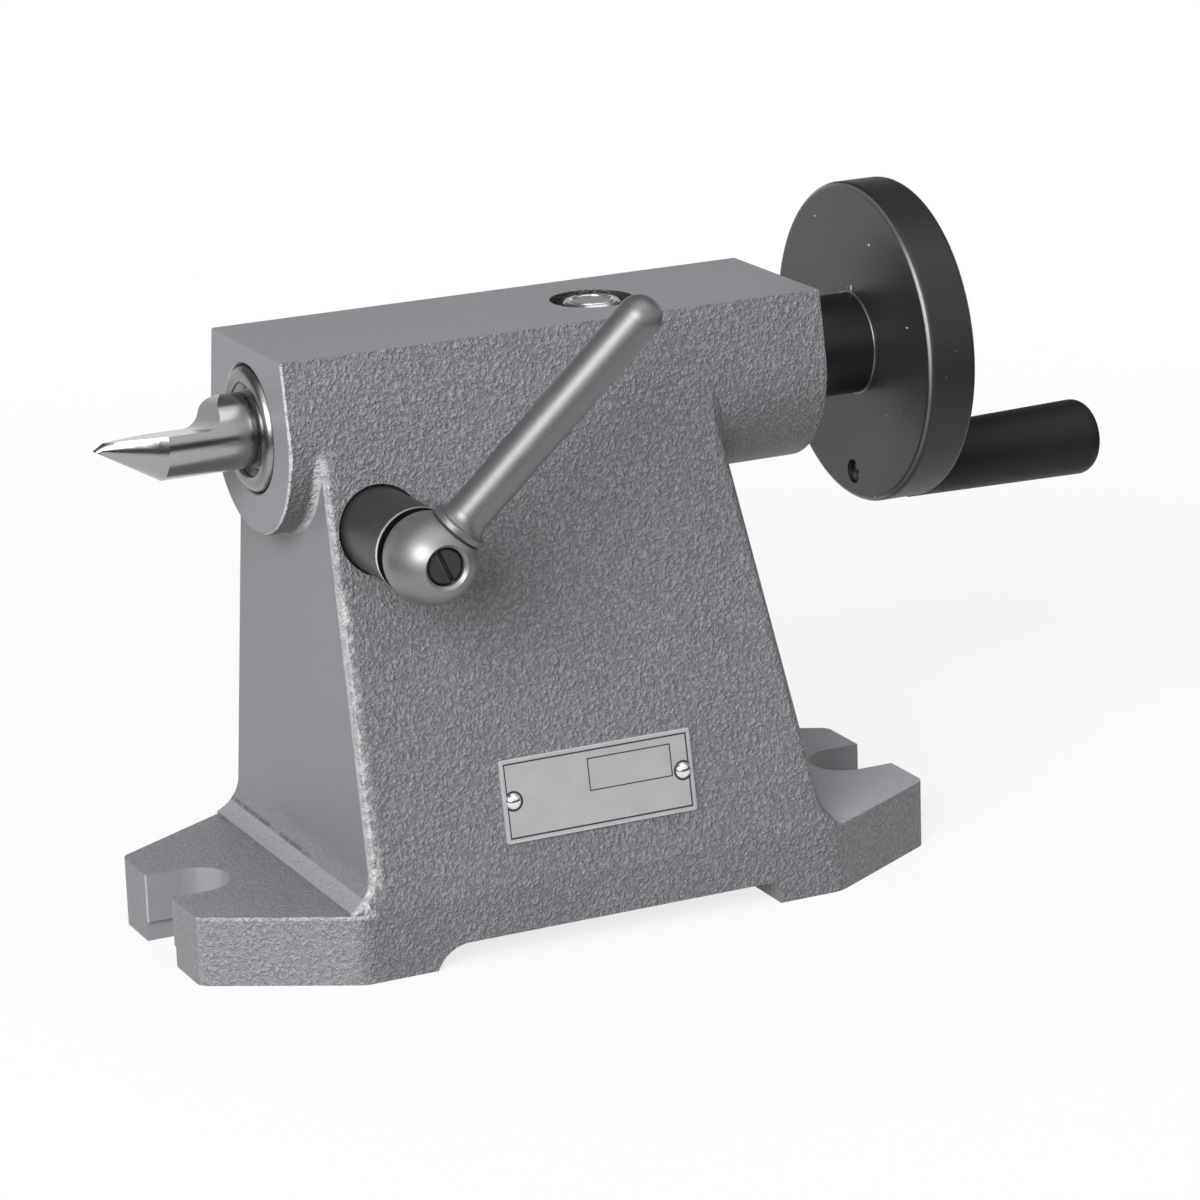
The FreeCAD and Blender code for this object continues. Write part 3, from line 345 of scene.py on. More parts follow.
def blank_material(name: str) -> Tuple[bpy.types.Material, ShaderTree]:
    """A new material and its empty tree."""
    made = bpy.data.materials.new(name)
    made.use_nodes = True
    return made, ShaderTree(made.node_tree)


@dataclass(frozen=True)
class Finish:
    """A surface finish: plain values here, its relief and colour changes in wire()."""

    name: str
    colour: Colour
    roughness: float
    metallic: float = 0.0
    sheen: float = 0.5

    def material(self) -> bpy.types.Material:
        """The finish as a material, made once.

        Returns:
            The material.
        """
        known = bpy.data.materials.get(self.name)
        if known is not None:
            return known
        made, tree = blank_material(self.name)
        made.diffuse_color = (*self.colour, 1.0)
        made.metallic = self.metallic
        made.roughness = self.roughness
        values = {
            "Base Color": (*self.colour, 1.0),
            "Roughness": self.roughness,
            "Metallic": self.metallic,
            "Specular IOR Level": self.sheen,
        }
        shader = tree.node("BsdfPrincipled", inputs=values)
        for name, value in self.wire(tree).items():
            tree.feed(shader.inputs[name], value)
        tree.node("OutputMaterial", inputs={"Surface": shader.outputs[0]})
        return made

    def wire(self, tree: ShaderTree) -> Dict[str, Value]:
        """What varies over the surface.

        Args:
            tree: the material's tree.

        Returns:
            Socket name to link.
        """
        spot = tree.millimetres()
        haze = tree.noise(spot, 3.0, 3.0)
        return {"Roughness": self.roughness * (0.9 + 0.2 * haze)}


class Reading:
    """What is read at a point of a piece: its place in metres and the way that it faces."""

    def __init__(self, tree: ShaderTree) -> None:
        """Read the place (x, y, z) and the direction (nx, ny, nz).

        Args:
            tree: the material's tree.
        """
        self.tree = tree
        source = tree.node("TexCoord")
        self.known = dict(zip(("nx", "ny", "nz"), tree.parts(source.outputs["Normal"])))
        self.known.update(zip("xyz", tree.parts(source.outputs["Object"])))

    def reach(self, name: str, centre: Point, along: str) -> None:
        """Add the distance from an axis to the readings.

        Args:
            name: the new reading's name.
            centre: a point on the axis.
            along: the letter of the axis' direction.
        """
        legs = [0.0 if letter == along else self.known[letter] - middle
                for letter, middle in zip("xyz", centre)]
        self.known[name] = self.tree.length(self.tree.join(*legs))

    def read(self, name: str) -> Wire:
        """One reading: "-" before its name turns its sign, "|" takes its size."""
        if name[0] == "-":
            return -1.0 * self.known[name[1:]]
        return abs(self.known[name[1:]]) if name[0] == "|" else self.known[name]

    def mask(self, *bounds: Bound) -> Wire:
        """A zone with soft borders.

        Args:
            bounds: each a reading, where the zone starts and where it is whole. Where the
                start is the higher number, the zone lies below it.

        Returns:
            1 inside every bound, 0 outside.
        """
        steps = [self.tree.smooth(self.read(name), start, whole) if start < whole
                 else 1.0 - self.tree.smooth(self.read(name), whole, start)
                 for name, start, whole in bounds]
        return math.prod(steps[1:], start=steps[0])


# Zones of the casting by place and facing; several carry painted highlights, painted light and
# painted shade.
CASTING_ZONES: Dict[str, Tuple[Bound, ...]] = {
    "flank": (("|ny", 0.42, 0.86),),
    "foot": (("z", 0.030, 0.019),),
    "slot_wall": (("|y", 0.0105, 0.0102), ("|nz", 0.4, 0.2), ("z", 0.0174, 0.0172)),
    "corner": (("|nx", 0.16, 0.42), ("|ny", 0.16, 0.42), ("-x", 0.0568, 0.0574),
               ("-x", 0.0692, 0.0686), ("z", 0.0172, 0.0176)),
    "corner_strip": (("|ny", 0.8, 0.9), ("-x", 0.0562, 0.0580), ("z", 0.019, 0.024),
                     ("z", 0.094, 0.088)),
    "foot_lip": (("z", 0.0158, 0.0166), ("z", 0.0173, 0.01702), ("|ny", 0.3, 0.5),
                 ("|y", 0.024, 0.0245), ("-x", 0.0600, 0.0620)),
    "heel": (("-x", 0.0585, 0.0600), ("-x", 0.0660, 0.0640), ("|y", 0.0420, 0.0430),
             ("z", 0.0230, 0.0200), ("z", 0.0160, 0.0168)),
    "slot_mouth": (("-x", 0.0965, 0.0969), ("y", 0.0086, 0.0089), ("y", 0.0097, 0.0093)),
    "foot_end": (("z", 0.0175, 0.0165), ("-x", 0.058, 0.066)),
    "foot_taper": (("z", 0.0175, 0.0165), ("|nx", 0.3, 0.5), ("|ny", 0.3, 0.5)),
    "barrel_front": (("-nx", 0.9, 0.98), ("-x", 0.0668, 0.0672), ("z", 0.09, 0.1)),
    "barrel_under": (("-nz", 0.1, 0.5), ("z", 0.05, 0.06)),
    "front_end": (("-nx", 0.9, 0.98),),
    "hollow": (("nz", 0.2, 0.4), ("z", 0.0225, 0.0212), ("z", 0.0171, 0.0173)),
    "milled_step": (("-x", 0.0617, 0.0621),),
    "crease": (("-x", 0.0612, 0.0615), ("-x", 0.0621, 0.0617), ("y", -0.012, -0.004)),
    "rear_shelf": (("nz", 0.6, 0.9), ("x", 0.056, 0.064), ("z", 0.026, 0.020)),
    "barrel_rim": (("|nx", 0.25, 0.55), ("|ny", 0.25, 0.55), ("|x", 0.0662, 0.0668),
                   ("z", 0.094, 0.102)),
    "guide_recess": (("guide", 0.01035, 0.01025), ("z", 0.1449, 0.1448), ("z", 0.141, 0.142)),
    "bore_gap": (("spindle", 0.0157, 0.0154), ("|x", 0.0660, 0.0663)),
    "clamp_gap": (("clamp", 0.01068, 0.01050), ("-y", 0.025, 0.026)),
    "base": (("-nz", 0.9, 0.98), ("z", 0.0009, 0.0004)),
}


@dataclass(frozen=True)
class HammeredEnamel(Finish):
    """Grey machine enamel: wrinkled on the sides, smooth on the ends and on top."""

    worm: float = 1.25
    relief: float = 0.44
    # Paint wear and painted highlight on corners, edges and the slot's mouth.
    glint_and_wear: Colour = (0.60, 0.61, 0.62)
    step_highlight: Colour = (0.37, 0.38, 0.395)
    shelf_light: Colour = (0.40, 0.41, 0.43)
    crease_shade: Colour = (0.08, 0.08, 0.085)
    recess: Colour = (0.03, 0.03, 0.031)
    gap: Colour = (0.02, 0.02, 0.021)
    iron: Colour = (0.36, 0.36, 0.355)

    def wrinkle(self, tree: ShaderTree, spot: Value) -> Wire:
        """Pebbles with two finer patterns between them.

        Args:
            tree: the material's tree.
            spot: coordinates in millimetres.

        Returns:
            The relief, 0 to 1.
        """
        field = tree.noise(spot, self.worm, 1.0, 0.4, 0.15)
        fine = tree.noise(spot, 0.55 * self.worm, 1.0, 0.5, 0.2)
        pebble = 1.0 - tree.smooth(tree.cells(spot, 0.9 * self.worm, 0.55), 0.16, 0.62)
        field, fine = tree.smooth(field, 0.36, 0.64), tree.smooth(fine, 0.34, 0.66)
        return 0.46 * pebble + 0.24 * field + 0.30 * fine

    def wire(self, tree: ShaderTree) -> Dict[str, Value]:
        """Wrinkles by the surface's direction, painted highlights on corners and edges, painted
        light and shade by zone, painted shade in gaps and a bare base.
        """
        spot = tree.millimetres()
        reading = Reading(tree)
        reading.reach("guide", GUIDE_AXIS, "z")
        reading.reach("spindle", SPINDLE_AXIS, "x")
        reading.reach("clamp", CLAMP_AXIS, "y")
        zone = {name: reading.mask(*bounds) for name, bounds in CASTING_ZONES.items()}
        side = zone["flank"] + (1.0 - zone["flank"]) * (0.55 * zone["foot"])
        side = side * (1.0 - zone["slot_wall"])
        wrinkle = self.wrinkle(tree, spot)
        # Painted highlights: speckled glints on the corners, the foot's lip, the heel and the
        # slot's mouth, partly paint wear.
        blob = tree.smooth(tree.noise(spot, 2.2, 2.0, 0.5), 0.42, 0.66)
        glint = tree.smooth(tree.noise(spot, 1.1, 2.0, 0.5), 0.40, 0.60)
        spark = zone["corner"] * (0.55 + 0.45 * blob) + zone["corner_strip"] * (0.2 + 0.8 * blob)
        spark = spark + zone["foot_lip"] * (0.4 + 0.6 * glint) + zone["heel"] * blob
        spark = tree.math("MINIMUM", spark + 1.1 * zone["slot_mouth"], 1.25)
        cloud = tree.noise(spot, 26.0, 4.0, 0.55)
        # Painted shade of the relief: the wrinkled sides darker overall and darker in the valleys,
        # over the paint's own mottle.
        tone = 0.93 + 0.14 * cloud + side * (0.60 * wrinkle - 0.46)
        # Painted light and shade by zone: foot ends, foot tapers and the barrel's front lighter,
        # the barrel's underside darker, faces towards -X a little darker.
        tone = tone + 0.15 * zone["foot_end"] + 0.14 * zone["foot_taper"]
        tone = tone + 0.12 * zone["barrel_front"]
        tone = tone - 0.16 * zone["barrel_under"] - 0.05 * zone["front_end"]
        patches = tree.smooth(tree.noise(spot, 2.4, 2.0), 0.36, 0.5)
        paint = tree.mix((tone - 0.6) / 0.8, shade(self.colour, 0.6), shade(self.colour, 1.4))
        coats = [
            (0.62 * spark, self.glint_and_wear),
            # Painted highlight on the step in the hollow between foot and pedestal, and painted
            # shade along its crease, broken into patches.
            (0.55 * zone["hollow"] * zone["milled_step"], self.step_highlight),
            (0.8 * zone["hollow"] * zone["crease"] * patches, self.crease_shade),
            # Painted light on the right foot's top, which lies in the pedestal's shade.
            (0.8 * zone["rear_shelf"], self.shelf_light),
            # Painted highlight along the rounded edge of the barrel's front.
            (0.75 * zone["barrel_rim"], self.glint_and_wear),
            # Painted shade in the recess round the guide plug.
            (zone["guide_recess"], self.recess),
            # Painted shade in the gaps round the quill and round the clamp sleeve.
            (zone["bore_gap"] + zone["clamp_gap"], self.gap),
            (zone["base"], self.iron),
        ]
        for mask, colour in coats:
            paint = tree.mix(mask, paint, colour)
        rough = self.roughness + 0.08 * (cloud - 0.5) - 0.05 * side
        rough = rough - 0.12 * spark - 0.08 * zone["base"]
        scrape = tree.noise(tree.vector("MULTIPLY", spot, (1.0, 0.08, 1.0)), 0.5, 3.0)
        height = wrinkle * (side + 0.35 * zone["corner"]) + 0.1 * scrape * zone["base"]
        skin = tree.bump(tree.noise(spot, 1.1, 2.0), 0.012)
        relief = tree.bump(height, self.relief, skin)
        return {"Base Color": paint, "Roughness": rough, "Metallic": 0.85 * zone["base"],
                "Normal": relief}


@dataclass(frozen=True)
class SatinEnamel(Finish):
    """Dark enamel over turned metal: faint tool rings and a few chips."""

    centre: Point = SPINDLE_AXIS
    axis: Axis = Axis.ALONG_X
    ring: float = 0.55
    chips: float = 0.0
    rim: float = 0.0
    hub: float = 0.0
    chip: Colour = (0.42, 0.42, 0.41)
    worn_sheen: Colour = (0.30, 0.30, 0.31)
    bright: Colour = (0.60, 0.60, 0.61)

    def wire(self, tree: ShaderTree) -> Dict[str, Value]:
        """Rings round the axis, cloudiness and chips; on a wheel, painted shade at the hub and rim
        and a painted sheen and highlight on the rounding.
        """
        spot = tree.millimetres(self.centre, self.axis)
        x, y, z = tree.parts(spot)
        reach = tree.length(tree.join(x, y, 0.0))
        rings = tree.noise(tree.join(reach, 0.0, 0.6 * z), self.ring, 2.0)
        cloud = tree.noise(spot, 9.0, 3.0, 0.55)
        skin = tree.noise(spot, 0.7, 2.0)
        chip = tree.smooth(tree.noise(spot, 1.3, 2.0, 0.5), 0.765, 0.79) * self.chips
        tone = tree.mix(cloud, shade(self.colour, 0.84), shade(self.colour, 1.18))
        rough = self.roughness * (0.88 + 0.24 * cloud) + 0.05 * (rings - 0.5)
        if self.rim:
            reading = Reading(tree)
            reading.known["reach"] = reach
            # Painted shade on the rim and on the ring next to the hub.
            outer = reading.mask(("reach", self.rim - 0.8, self.rim - 0.7), ("|nx", 0.9, 0.5))
            inner = reading.mask(("reach", self.hub + 0.45, self.hub + 0.15))
            # Wear on the rounding, its lighter colour partly a painted sheen.
            worn_sheen = reading.mask(("|nx", 0.55, 0.7), ("|nx", 0.96, 0.86),
                                ("reach", self.rim - 1.2, self.rim - 1.0)) * (1.0 - inner)
            lit = reading.mask(("z", 0.116, 0.138), ("z", 0.157, 0.146), ("-y", 0.005, 0.015))
            slow = tree.smooth(tree.noise(spot, 30.0, 1.0), 0.3, 0.7)
            tone = tree.mix(0.5 * slow, tone, shade(self.colour, 0.6))
            tone = tree.mix(outer, tone, shade(self.colour, 0.5))
            tone = tree.mix(inner, tone, shade(self.colour, 0.55))
        tone = tree.mix(chip, tone, self.chip)
        if self.rim:
            # Painted sheen on the rounding, then a painted highlight on the stretch that the lamp
            # lights.
            tone = tree.mix(0.24 * worn_sheen, tone, self.worn_sheen)
            tone = tree.mix(0.6 * lit * worn_sheen, tone, self.bright)
            rough = rough - 0.15 * worn_sheen + 0.14 * outer
        normal = tree.bump(0.5 * rings + 0.5 * skin, 0.012)
        return {"Base Color": tone, "Roughness": rough, "Metallic": chip * 0.8, "Normal": normal}


@dataclass(frozen=True)
class TurnedMetal(Finish):
    """Metal from the lathe or the grinder: fine rings round its axis."""

    centre: Point = SPINDLE_AXIS
    axis: Axis = Axis.ALONG_X
    ring: float = 0.16
    depth: float = 0.006
    stain: float = 0.12
    shaded_face: bool = False
    end_shade: float = 1.0
    face_shade: Colour = (0.02, 0.02, 0.02)

    def wire(self, tree: ShaderTree) -> Dict[str, Value]:
        """Tool rings, soft stains and light scuffs."""
        spot = tree.millimetres(self.centre, self.axis)
        x, y, z = tree.parts(spot)
        reach = tree.length(tree.join(x, y, 0.0))
        rings = tree.noise(tree.join(reach, 0.0, z), self.ring, 3.0, 0.6)
        cloud = tree.noise(spot, 5.0, 4.0, 0.6)
        scuff = tree.smooth(tree.noise(spot, 0.9, 4.0, 0.7), 0.52, 0.66)
        low = shade(self.colour, 1.0 - self.stain)
        tone = tree.mix(cloud, low, shade(self.colour, 1.0 + 0.5 * self.stain))
        # Painted shade: the ends that face -X darker.
        if self.end_shade < 1.0:
            ends = Reading(tree).mask(("-nx", 0.6, 0.9))
            tone = tree.mix(ends, tone, shade(self.colour, self.end_shade))
        # Painted shade on the faces towards -Y, for the groove between the ring and the ball.
        if self.shaded_face:
            tone = tree.mix(Reading(tree).mask(("-ny", 0.6, 0.9)), tone, self.face_shade)
        rough = self.roughness * (0.82 + 0.3 * cloud) + 0.06 * scuff + 0.05 * (rings - 0.5)
        return {"Base Color": tone, "Roughness": rough, "Normal": tree.bump(rings, self.depth)}


@dataclass(frozen=True)
class SlottedSteel(TurnedMetal):
    """The slotted end of a screw: a painted highlight along one edge of the slot, painted shade at
    the rim.
    """

    lean: float = 24.0
    slot: float = 0.65
    rim: float = 3.9
    glint_and_wear: Colour = (0.42, 0.40, 0.36)
    shadow: Colour = (0.012, 0.012, 0.012)

    def wire(self, tree: ShaderTree) -> Dict[str, Value]:
        """The turned steel with a painted highlight in its slot and painted shade at its rim."""
        values = super().wire(tree)
        spot = tree.millimetres(self.centre)
        x, _, z = tree.parts(spot)
        lean = math.radians(self.lean)
        across = math.cos(lean) * x + math.sin(lean) * z
        # Painted highlight along one edge of the slot.
        rub = tree.smooth(across, -self.slot - 0.08, -self.slot)
        rub = rub * (1.0 - tree.smooth(across, 0.3 - self.slot, 0.4 - self.slot))
        grit = tree.smooth(tree.noise(tree.millimetres(), 1.2, 2.0), 0.3, 0.5)
        # Painted shade at the rim of the screw's end.
        rim = tree.smooth(tree.length(tree.join(x, 0.0, z)), self.rim - 0.15, self.rim)
        tone = tree.mix(rub * (0.4 + 0.6 * grit), values["Base Color"], self.glint_and_wear)
        values["Base Color"] = tree.mix(0.8 * rim, tone, self.shadow)
        return values


@dataclass(frozen=True)
class BlastedMetal(Finish):
    """Silver metal with a fine even grain, as after blasting and plating."""

    grain: float = 0.5
    depth: float = 0.012
    neck: float = 0.0
    shadow: Colour = (0.02, 0.02, 0.02)

    def wire(self, tree: ShaderTree) -> Dict[str, Value]:
        """Fine grain, soft waves and a little cloudiness; dark behind a neck."""
        spot = tree.millimetres()
        grain = tree.noise(spot, self.grain, 3.0, 0.6)
        wave = tree.noise(spot, 3.6, 2.0)
        dark, light = shade(self.colour, 0.86), shade(self.colour, 1.14)
        tone = tree.mix(0.5 * grain + 0.5 * wave, dark, light)
        # Painted shade behind the neck.
        if self.neck:
            behind = tree.parts(spot)[1] + self.neck
            tone = tree.mix(tree.smooth(behind, -0.05, 0.05), tone, self.shadow)
        rough = self.roughness * (0.85 + 0.18 * wave + 0.14 * grain)
        normal = tree.bump(0.6 * grain + 0.4 * wave, self.depth)
        return {"Base Color": tone, "Roughness": rough, "Normal": normal}


@dataclass(frozen=True)
class BrushedSheet(Finish):
    """Thin brushed sheet with its lines along X."""

    def wire(self, tree: ShaderTree) -> Dict[str, Value]:
        """Lines along the sheet, stains and a soft unevenness."""
        spot = tree.millimetres()
        lines = tree.noise(tree.vector("MULTIPLY", spot, (0.04, 1.0, 1.0)), 0.22, 2.0, 0.6)
        cloud = tree.noise(spot, 6.0, 4.0, 0.6)
        dark, light = shade(self.colour, 0.85), shade(self.colour, 1.12)
        tone = tree.mix(0.5 * lines + 0.5 * cloud, dark, light)
        rough = self.roughness * (0.85 + 0.3 * cloud) + 0.06 * (lines - 0.5)
        return {"Base Color": tone, "Roughness": rough, "Normal": tree.bump(lines, 0.004)}


@dataclass(frozen=True)
class MouldedPlastic(Finish):
    """Black moulded plastic: smooth with a faint flow and handling marks."""

    def wire(self, tree: ShaderTree) -> Dict[str, Value]:
        """Slow waves in the skin and handling marks."""
        spot = tree.millimetres()
        wave = tree.noise(spot, 7.0, 2.0)
        rub = tree.smooth(tree.noise(spot, 2.2, 5.0, 0.65), 0.5, 0.66)
        grain = tree.noise(spot, 0.35, 2.0)
        tone = tree.mix(0.6 * wave + 0.25 * rub, shade(self.colour, 0.8), shade(self.colour, 1.5))
        rough = self.roughness * (0.85 + 0.2 * wave) + 0.05 * rub
        normal = tree.bump(0.3 * grain + wave, 0.01)
        return {"Base Color": tone, "Roughness": rough, "Normal": normal}


@dataclass
class Finishes:
    """Every finish of the object, by the record's slots."""

    made: Dict[Slot, Finish] = field(default_factory=dict)

    def __post_init__(self) -> None:
        """Mix the finishes."""
        self.made = {
            Slot.CASTING: HammeredEnamel("hammered_grey_enamel", (0.222, 0.229, 0.240), 0.5),
            Slot.PLATE: BrushedSheet("satin_plate", (0.57, 0.575, 0.58), 0.44, metallic=0.6),
            Slot.RIVET: BlastedMetal("bright_rivet", (0.80, 0.80, 0.81), 0.2, metallic=1.0,
                                     depth=0.004),
            Slot.POLISHED: TurnedMetal("ground_centre", (0.38, 0.38, 0.385), 0.21, 1.0, ring=0.6,
                                       depth=0.0002, end_shade=0.48),
            Slot.MACHINED: TurnedMetal("turned_steel", (0.32, 0.32, 0.325), 0.29, 1.0,
                                       depth=0.0012, end_shade=0.68),
            Slot.DARK: TurnedMetal("blacked_steel", (0.105, 0.098, 0.094), 0.3, 1.0, depth=0.002,
                                   stain=0.25),
            Slot.BRONZE: TurnedMetal("turned_bronze", (0.62, 0.45, 0.22), 0.3, 1.0),
            Slot.WHEEL: SatinEnamel("charcoal_enamel", (0.026, 0.026, 0.028), 0.33, chips=1.0,
                                    sheen=0.4, rim=39.9, hub=12.5),
            Slot.GRIP: MouldedPlastic("black_plastic", (0.0125, 0.0115, 0.0120), 0.54, sheen=0.2),
            Slot.LEVER: BlastedMetal("silver_lever", (0.180, 0.183, 0.187), 0.44, metallic=0.75,
                                     grain=0.7, depth=0.035),
            Slot.CAP: SatinEnamel("grey_cap", (0.20, 0.20, 0.205), 0.45, centre=GUIDE_AXIS,
                                  axis=Axis.ALONG_Z),
        }

    def clamp_steel(self) -> Finish:
        """Blacked steel with its rings round the clamp's axis."""
        return TurnedMetal("blacked_clamp", (0.085, 0.080, 0.076), 0.40, 0.7, centre=CLAMP_AXIS,
                           axis=Axis.ALONG_Y, depth=0.0004, stain=0.3)

    def screw_steel(self) -> Finish:
        """Dull dark end of the clamp screw."""
        return SlottedSteel("dull_screw", (0.058, 0.059, 0.060), 0.46, 0.6, centre=CLAMP_AXIS,
                            axis=Axis.ALONG_Y, depth=0.002, stain=0.3)

    def clamp_bright(self) -> Finish:
        """Turned steel with its rings round the clamp's axis."""
        return TurnedMetal("turned_clamp", (0.56, 0.56, 0.56), 0.22, 1.0, centre=CLAMP_AXIS,
                           axis=Axis.ALONG_Y, depth=0.002)

    def clamp_ring(self) -> Finish:
        """Bright rim of the thin ring behind the ball, with painted shade on its face."""
        return TurnedMetal("bright_ring", (0.74, 0.74, 0.74), 0.34, 0.8, centre=CLAMP_AXIS,
                           axis=Axis.ALONG_Y, depth=0.001, shaded_face=True)

    def silver_ball(self) -> Finish:
        """The lever's ball: a lighter copy of the arm's silver, painted light, with painted shade
        on its neck.
        """
        return BlastedMetal("silver_ball", (0.235, 0.239, 0.243), 0.43, metallic=0.75, depth=0.01,
                            neck=51.9)

    def hub_joint(self) -> Finish:
        """Hollow between the wheel's hub and face in lighter metal: partly wear, partly a painted
        highlight.
        """
        return TurnedMetal("worn_joint_sheen", (0.17, 0.17, 0.17), 0.3, 0.8, depth=0.001)

    def fleck_metal(self) -> Finish:
        """Pale grains in the wheel's enamel."""
        return BlastedMetal("pale_fleck", (0.42, 0.42, 0.41), 0.4, grain=0.2)

    def guide_steel(self) -> Finish:
        """Turned steel with its rings round the guide screw."""
        return TurnedMetal("turned_guide", (0.50, 0.50, 0.50), 0.24, 1.0, centre=GUIDE_AXIS,
                           axis=Axis.ALONG_Z, depth=0.002)

    def guide_rim(self) -> Finish:
        """Bright bead on the guide screw's head."""
        return TurnedMetal("bright_rim", (0.74, 0.74, 0.75), 0.16, 1.0, centre=GUIDE_AXIS,
                           axis=Axis.ALONG_Z, depth=0.002)

    def line_enamel(self) -> Finish:
        """Black enamel in the plate's lines, also used for the painted shade round the rivets."""
        return Finish("line_enamel", (0.022, 0.022, 0.024), 0.5)

    def dark_tip(self) -> Finish:
        """Dark greenish grey end of the grip's spindle."""
        return TurnedMetal("dark_tip", (0.055, 0.060, 0.050), 0.5, 0.5, centre=GRIP_AXIS)


def placed(name: str, shape: bmesh.types.BMesh) -> bpy.types.Object:
    """A bmesh as an object of the scene; the bmesh is freed."""
    mesh = bpy.data.meshes.new(name)
    shape.to_mesh(mesh)
    shape.free()
    made = bpy.data.objects.new(name, mesh)
    bpy.context.scene.collection.objects.link(made)
    return made


class Workshop:
    """Turns bmeshes into finished pieces that ride on the frame."""

    def __init__(self, nodes: Dict[str, bpy.types.Object], finishes: Finishes) -> None:
        """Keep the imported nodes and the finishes.

        Args:
            nodes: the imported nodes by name.
            finishes: every finish.
        """
        self.nodes = nodes
        self.finishes = finishes

    def dress(self, finish: Finish, *nodes: str) -> None:
        """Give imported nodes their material.

        Args:
            finish: the finish.
            nodes: the nodes' names.
        """
        for node in nodes:
            for place in self.nodes[node].material_slots:
                place.material = finish.material()
            LOG.info("dressed %s with %s", node, finish.name)

    def piece(
        self,
        name: str,
        shape: bmesh.types.BMesh,
        body: Body,
        slot: Slot,
        finishes: Sequence[Finish],
        replaces: Sequence[str] = (),
    ) -> bpy.types.Object:
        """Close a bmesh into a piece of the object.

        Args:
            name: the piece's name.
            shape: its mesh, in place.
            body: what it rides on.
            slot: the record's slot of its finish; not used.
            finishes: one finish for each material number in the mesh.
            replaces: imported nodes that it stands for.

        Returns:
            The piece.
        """
        bmesh.ops.remove_doubles(shape, verts=shape.verts, dist=1e-7)
        bmesh.ops.recalc_face_normals(shape, faces=shape.faces)
        for face in shape.faces:
            face.smooth = True
        made = placed(name, shape)
        made.data.set_sharp_from_angle(angle=SHARP_ANGLE)
        for finish in finishes:
            made.data.materials.append(finish.material())
        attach(made, body.value)
        if replaces:
            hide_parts(*replaces)
        LOG.info("made %s, %d faces", name, len(made.data.polygons))
        return made


def spun(
    profile: Sequence[Place], centre: Point, axis: Point, out: Point, steps: int
) -> bmesh.types.BMesh:
    """A closed outline turned round an axis.

    Args:
        profile: (along the axis, from the axis) corners in metres, a closed outline.
        centre: a point on the axis from which "along" counts.
        axis: the axis' direction.
        out: a direction across the axis.
        steps: segments of the full turn.

    Returns:
        The turned mesh.
    """
    shape = bmesh.new()
    along, across = Vector(axis), Vector(out)
    corners = [shape.verts.new(Vector(centre) + along * a + across * r) for a, r in profile]
    sides = [shape.edges.new((corners[i - 1], corner)) for i, corner in enumerate(corners)]
    bmesh.ops.spin(shape, geom=[*corners, *sides], cent=centre, axis=axis, angle=math.tau,
                   steps=steps, use_merge=True)
    bmesh.ops.remove_doubles(shape, verts=shape.verts, dist=1e-7)
    return shape


def uppermost(shape: bmesh.types.BMesh) -> bmesh.types.BMFace:
    """The largest face that looks up along Z."""
    shape.normal_update()
    level = [face for face in shape.faces if face.normal.z > 0.99]
    return max(level, key=lambda face: face.calc_area())


@dataclass
class Casting:
    """The one-piece casting with its smooth and wrinkled enamel."""

    shop: Workshop

    def build(self) -> None:
        """Dress the casting and what is fixed in it."""
        made = self.shop.finishes.made
        self.shop.dress(made[Slot.CASTING], "tailstock_body")
        self.shop.dress(made[Slot.DARK], "rear_bush", "bush_lock_screw")
        self.shop.dress(made[Slot.BRONZE], "thrust_washer")


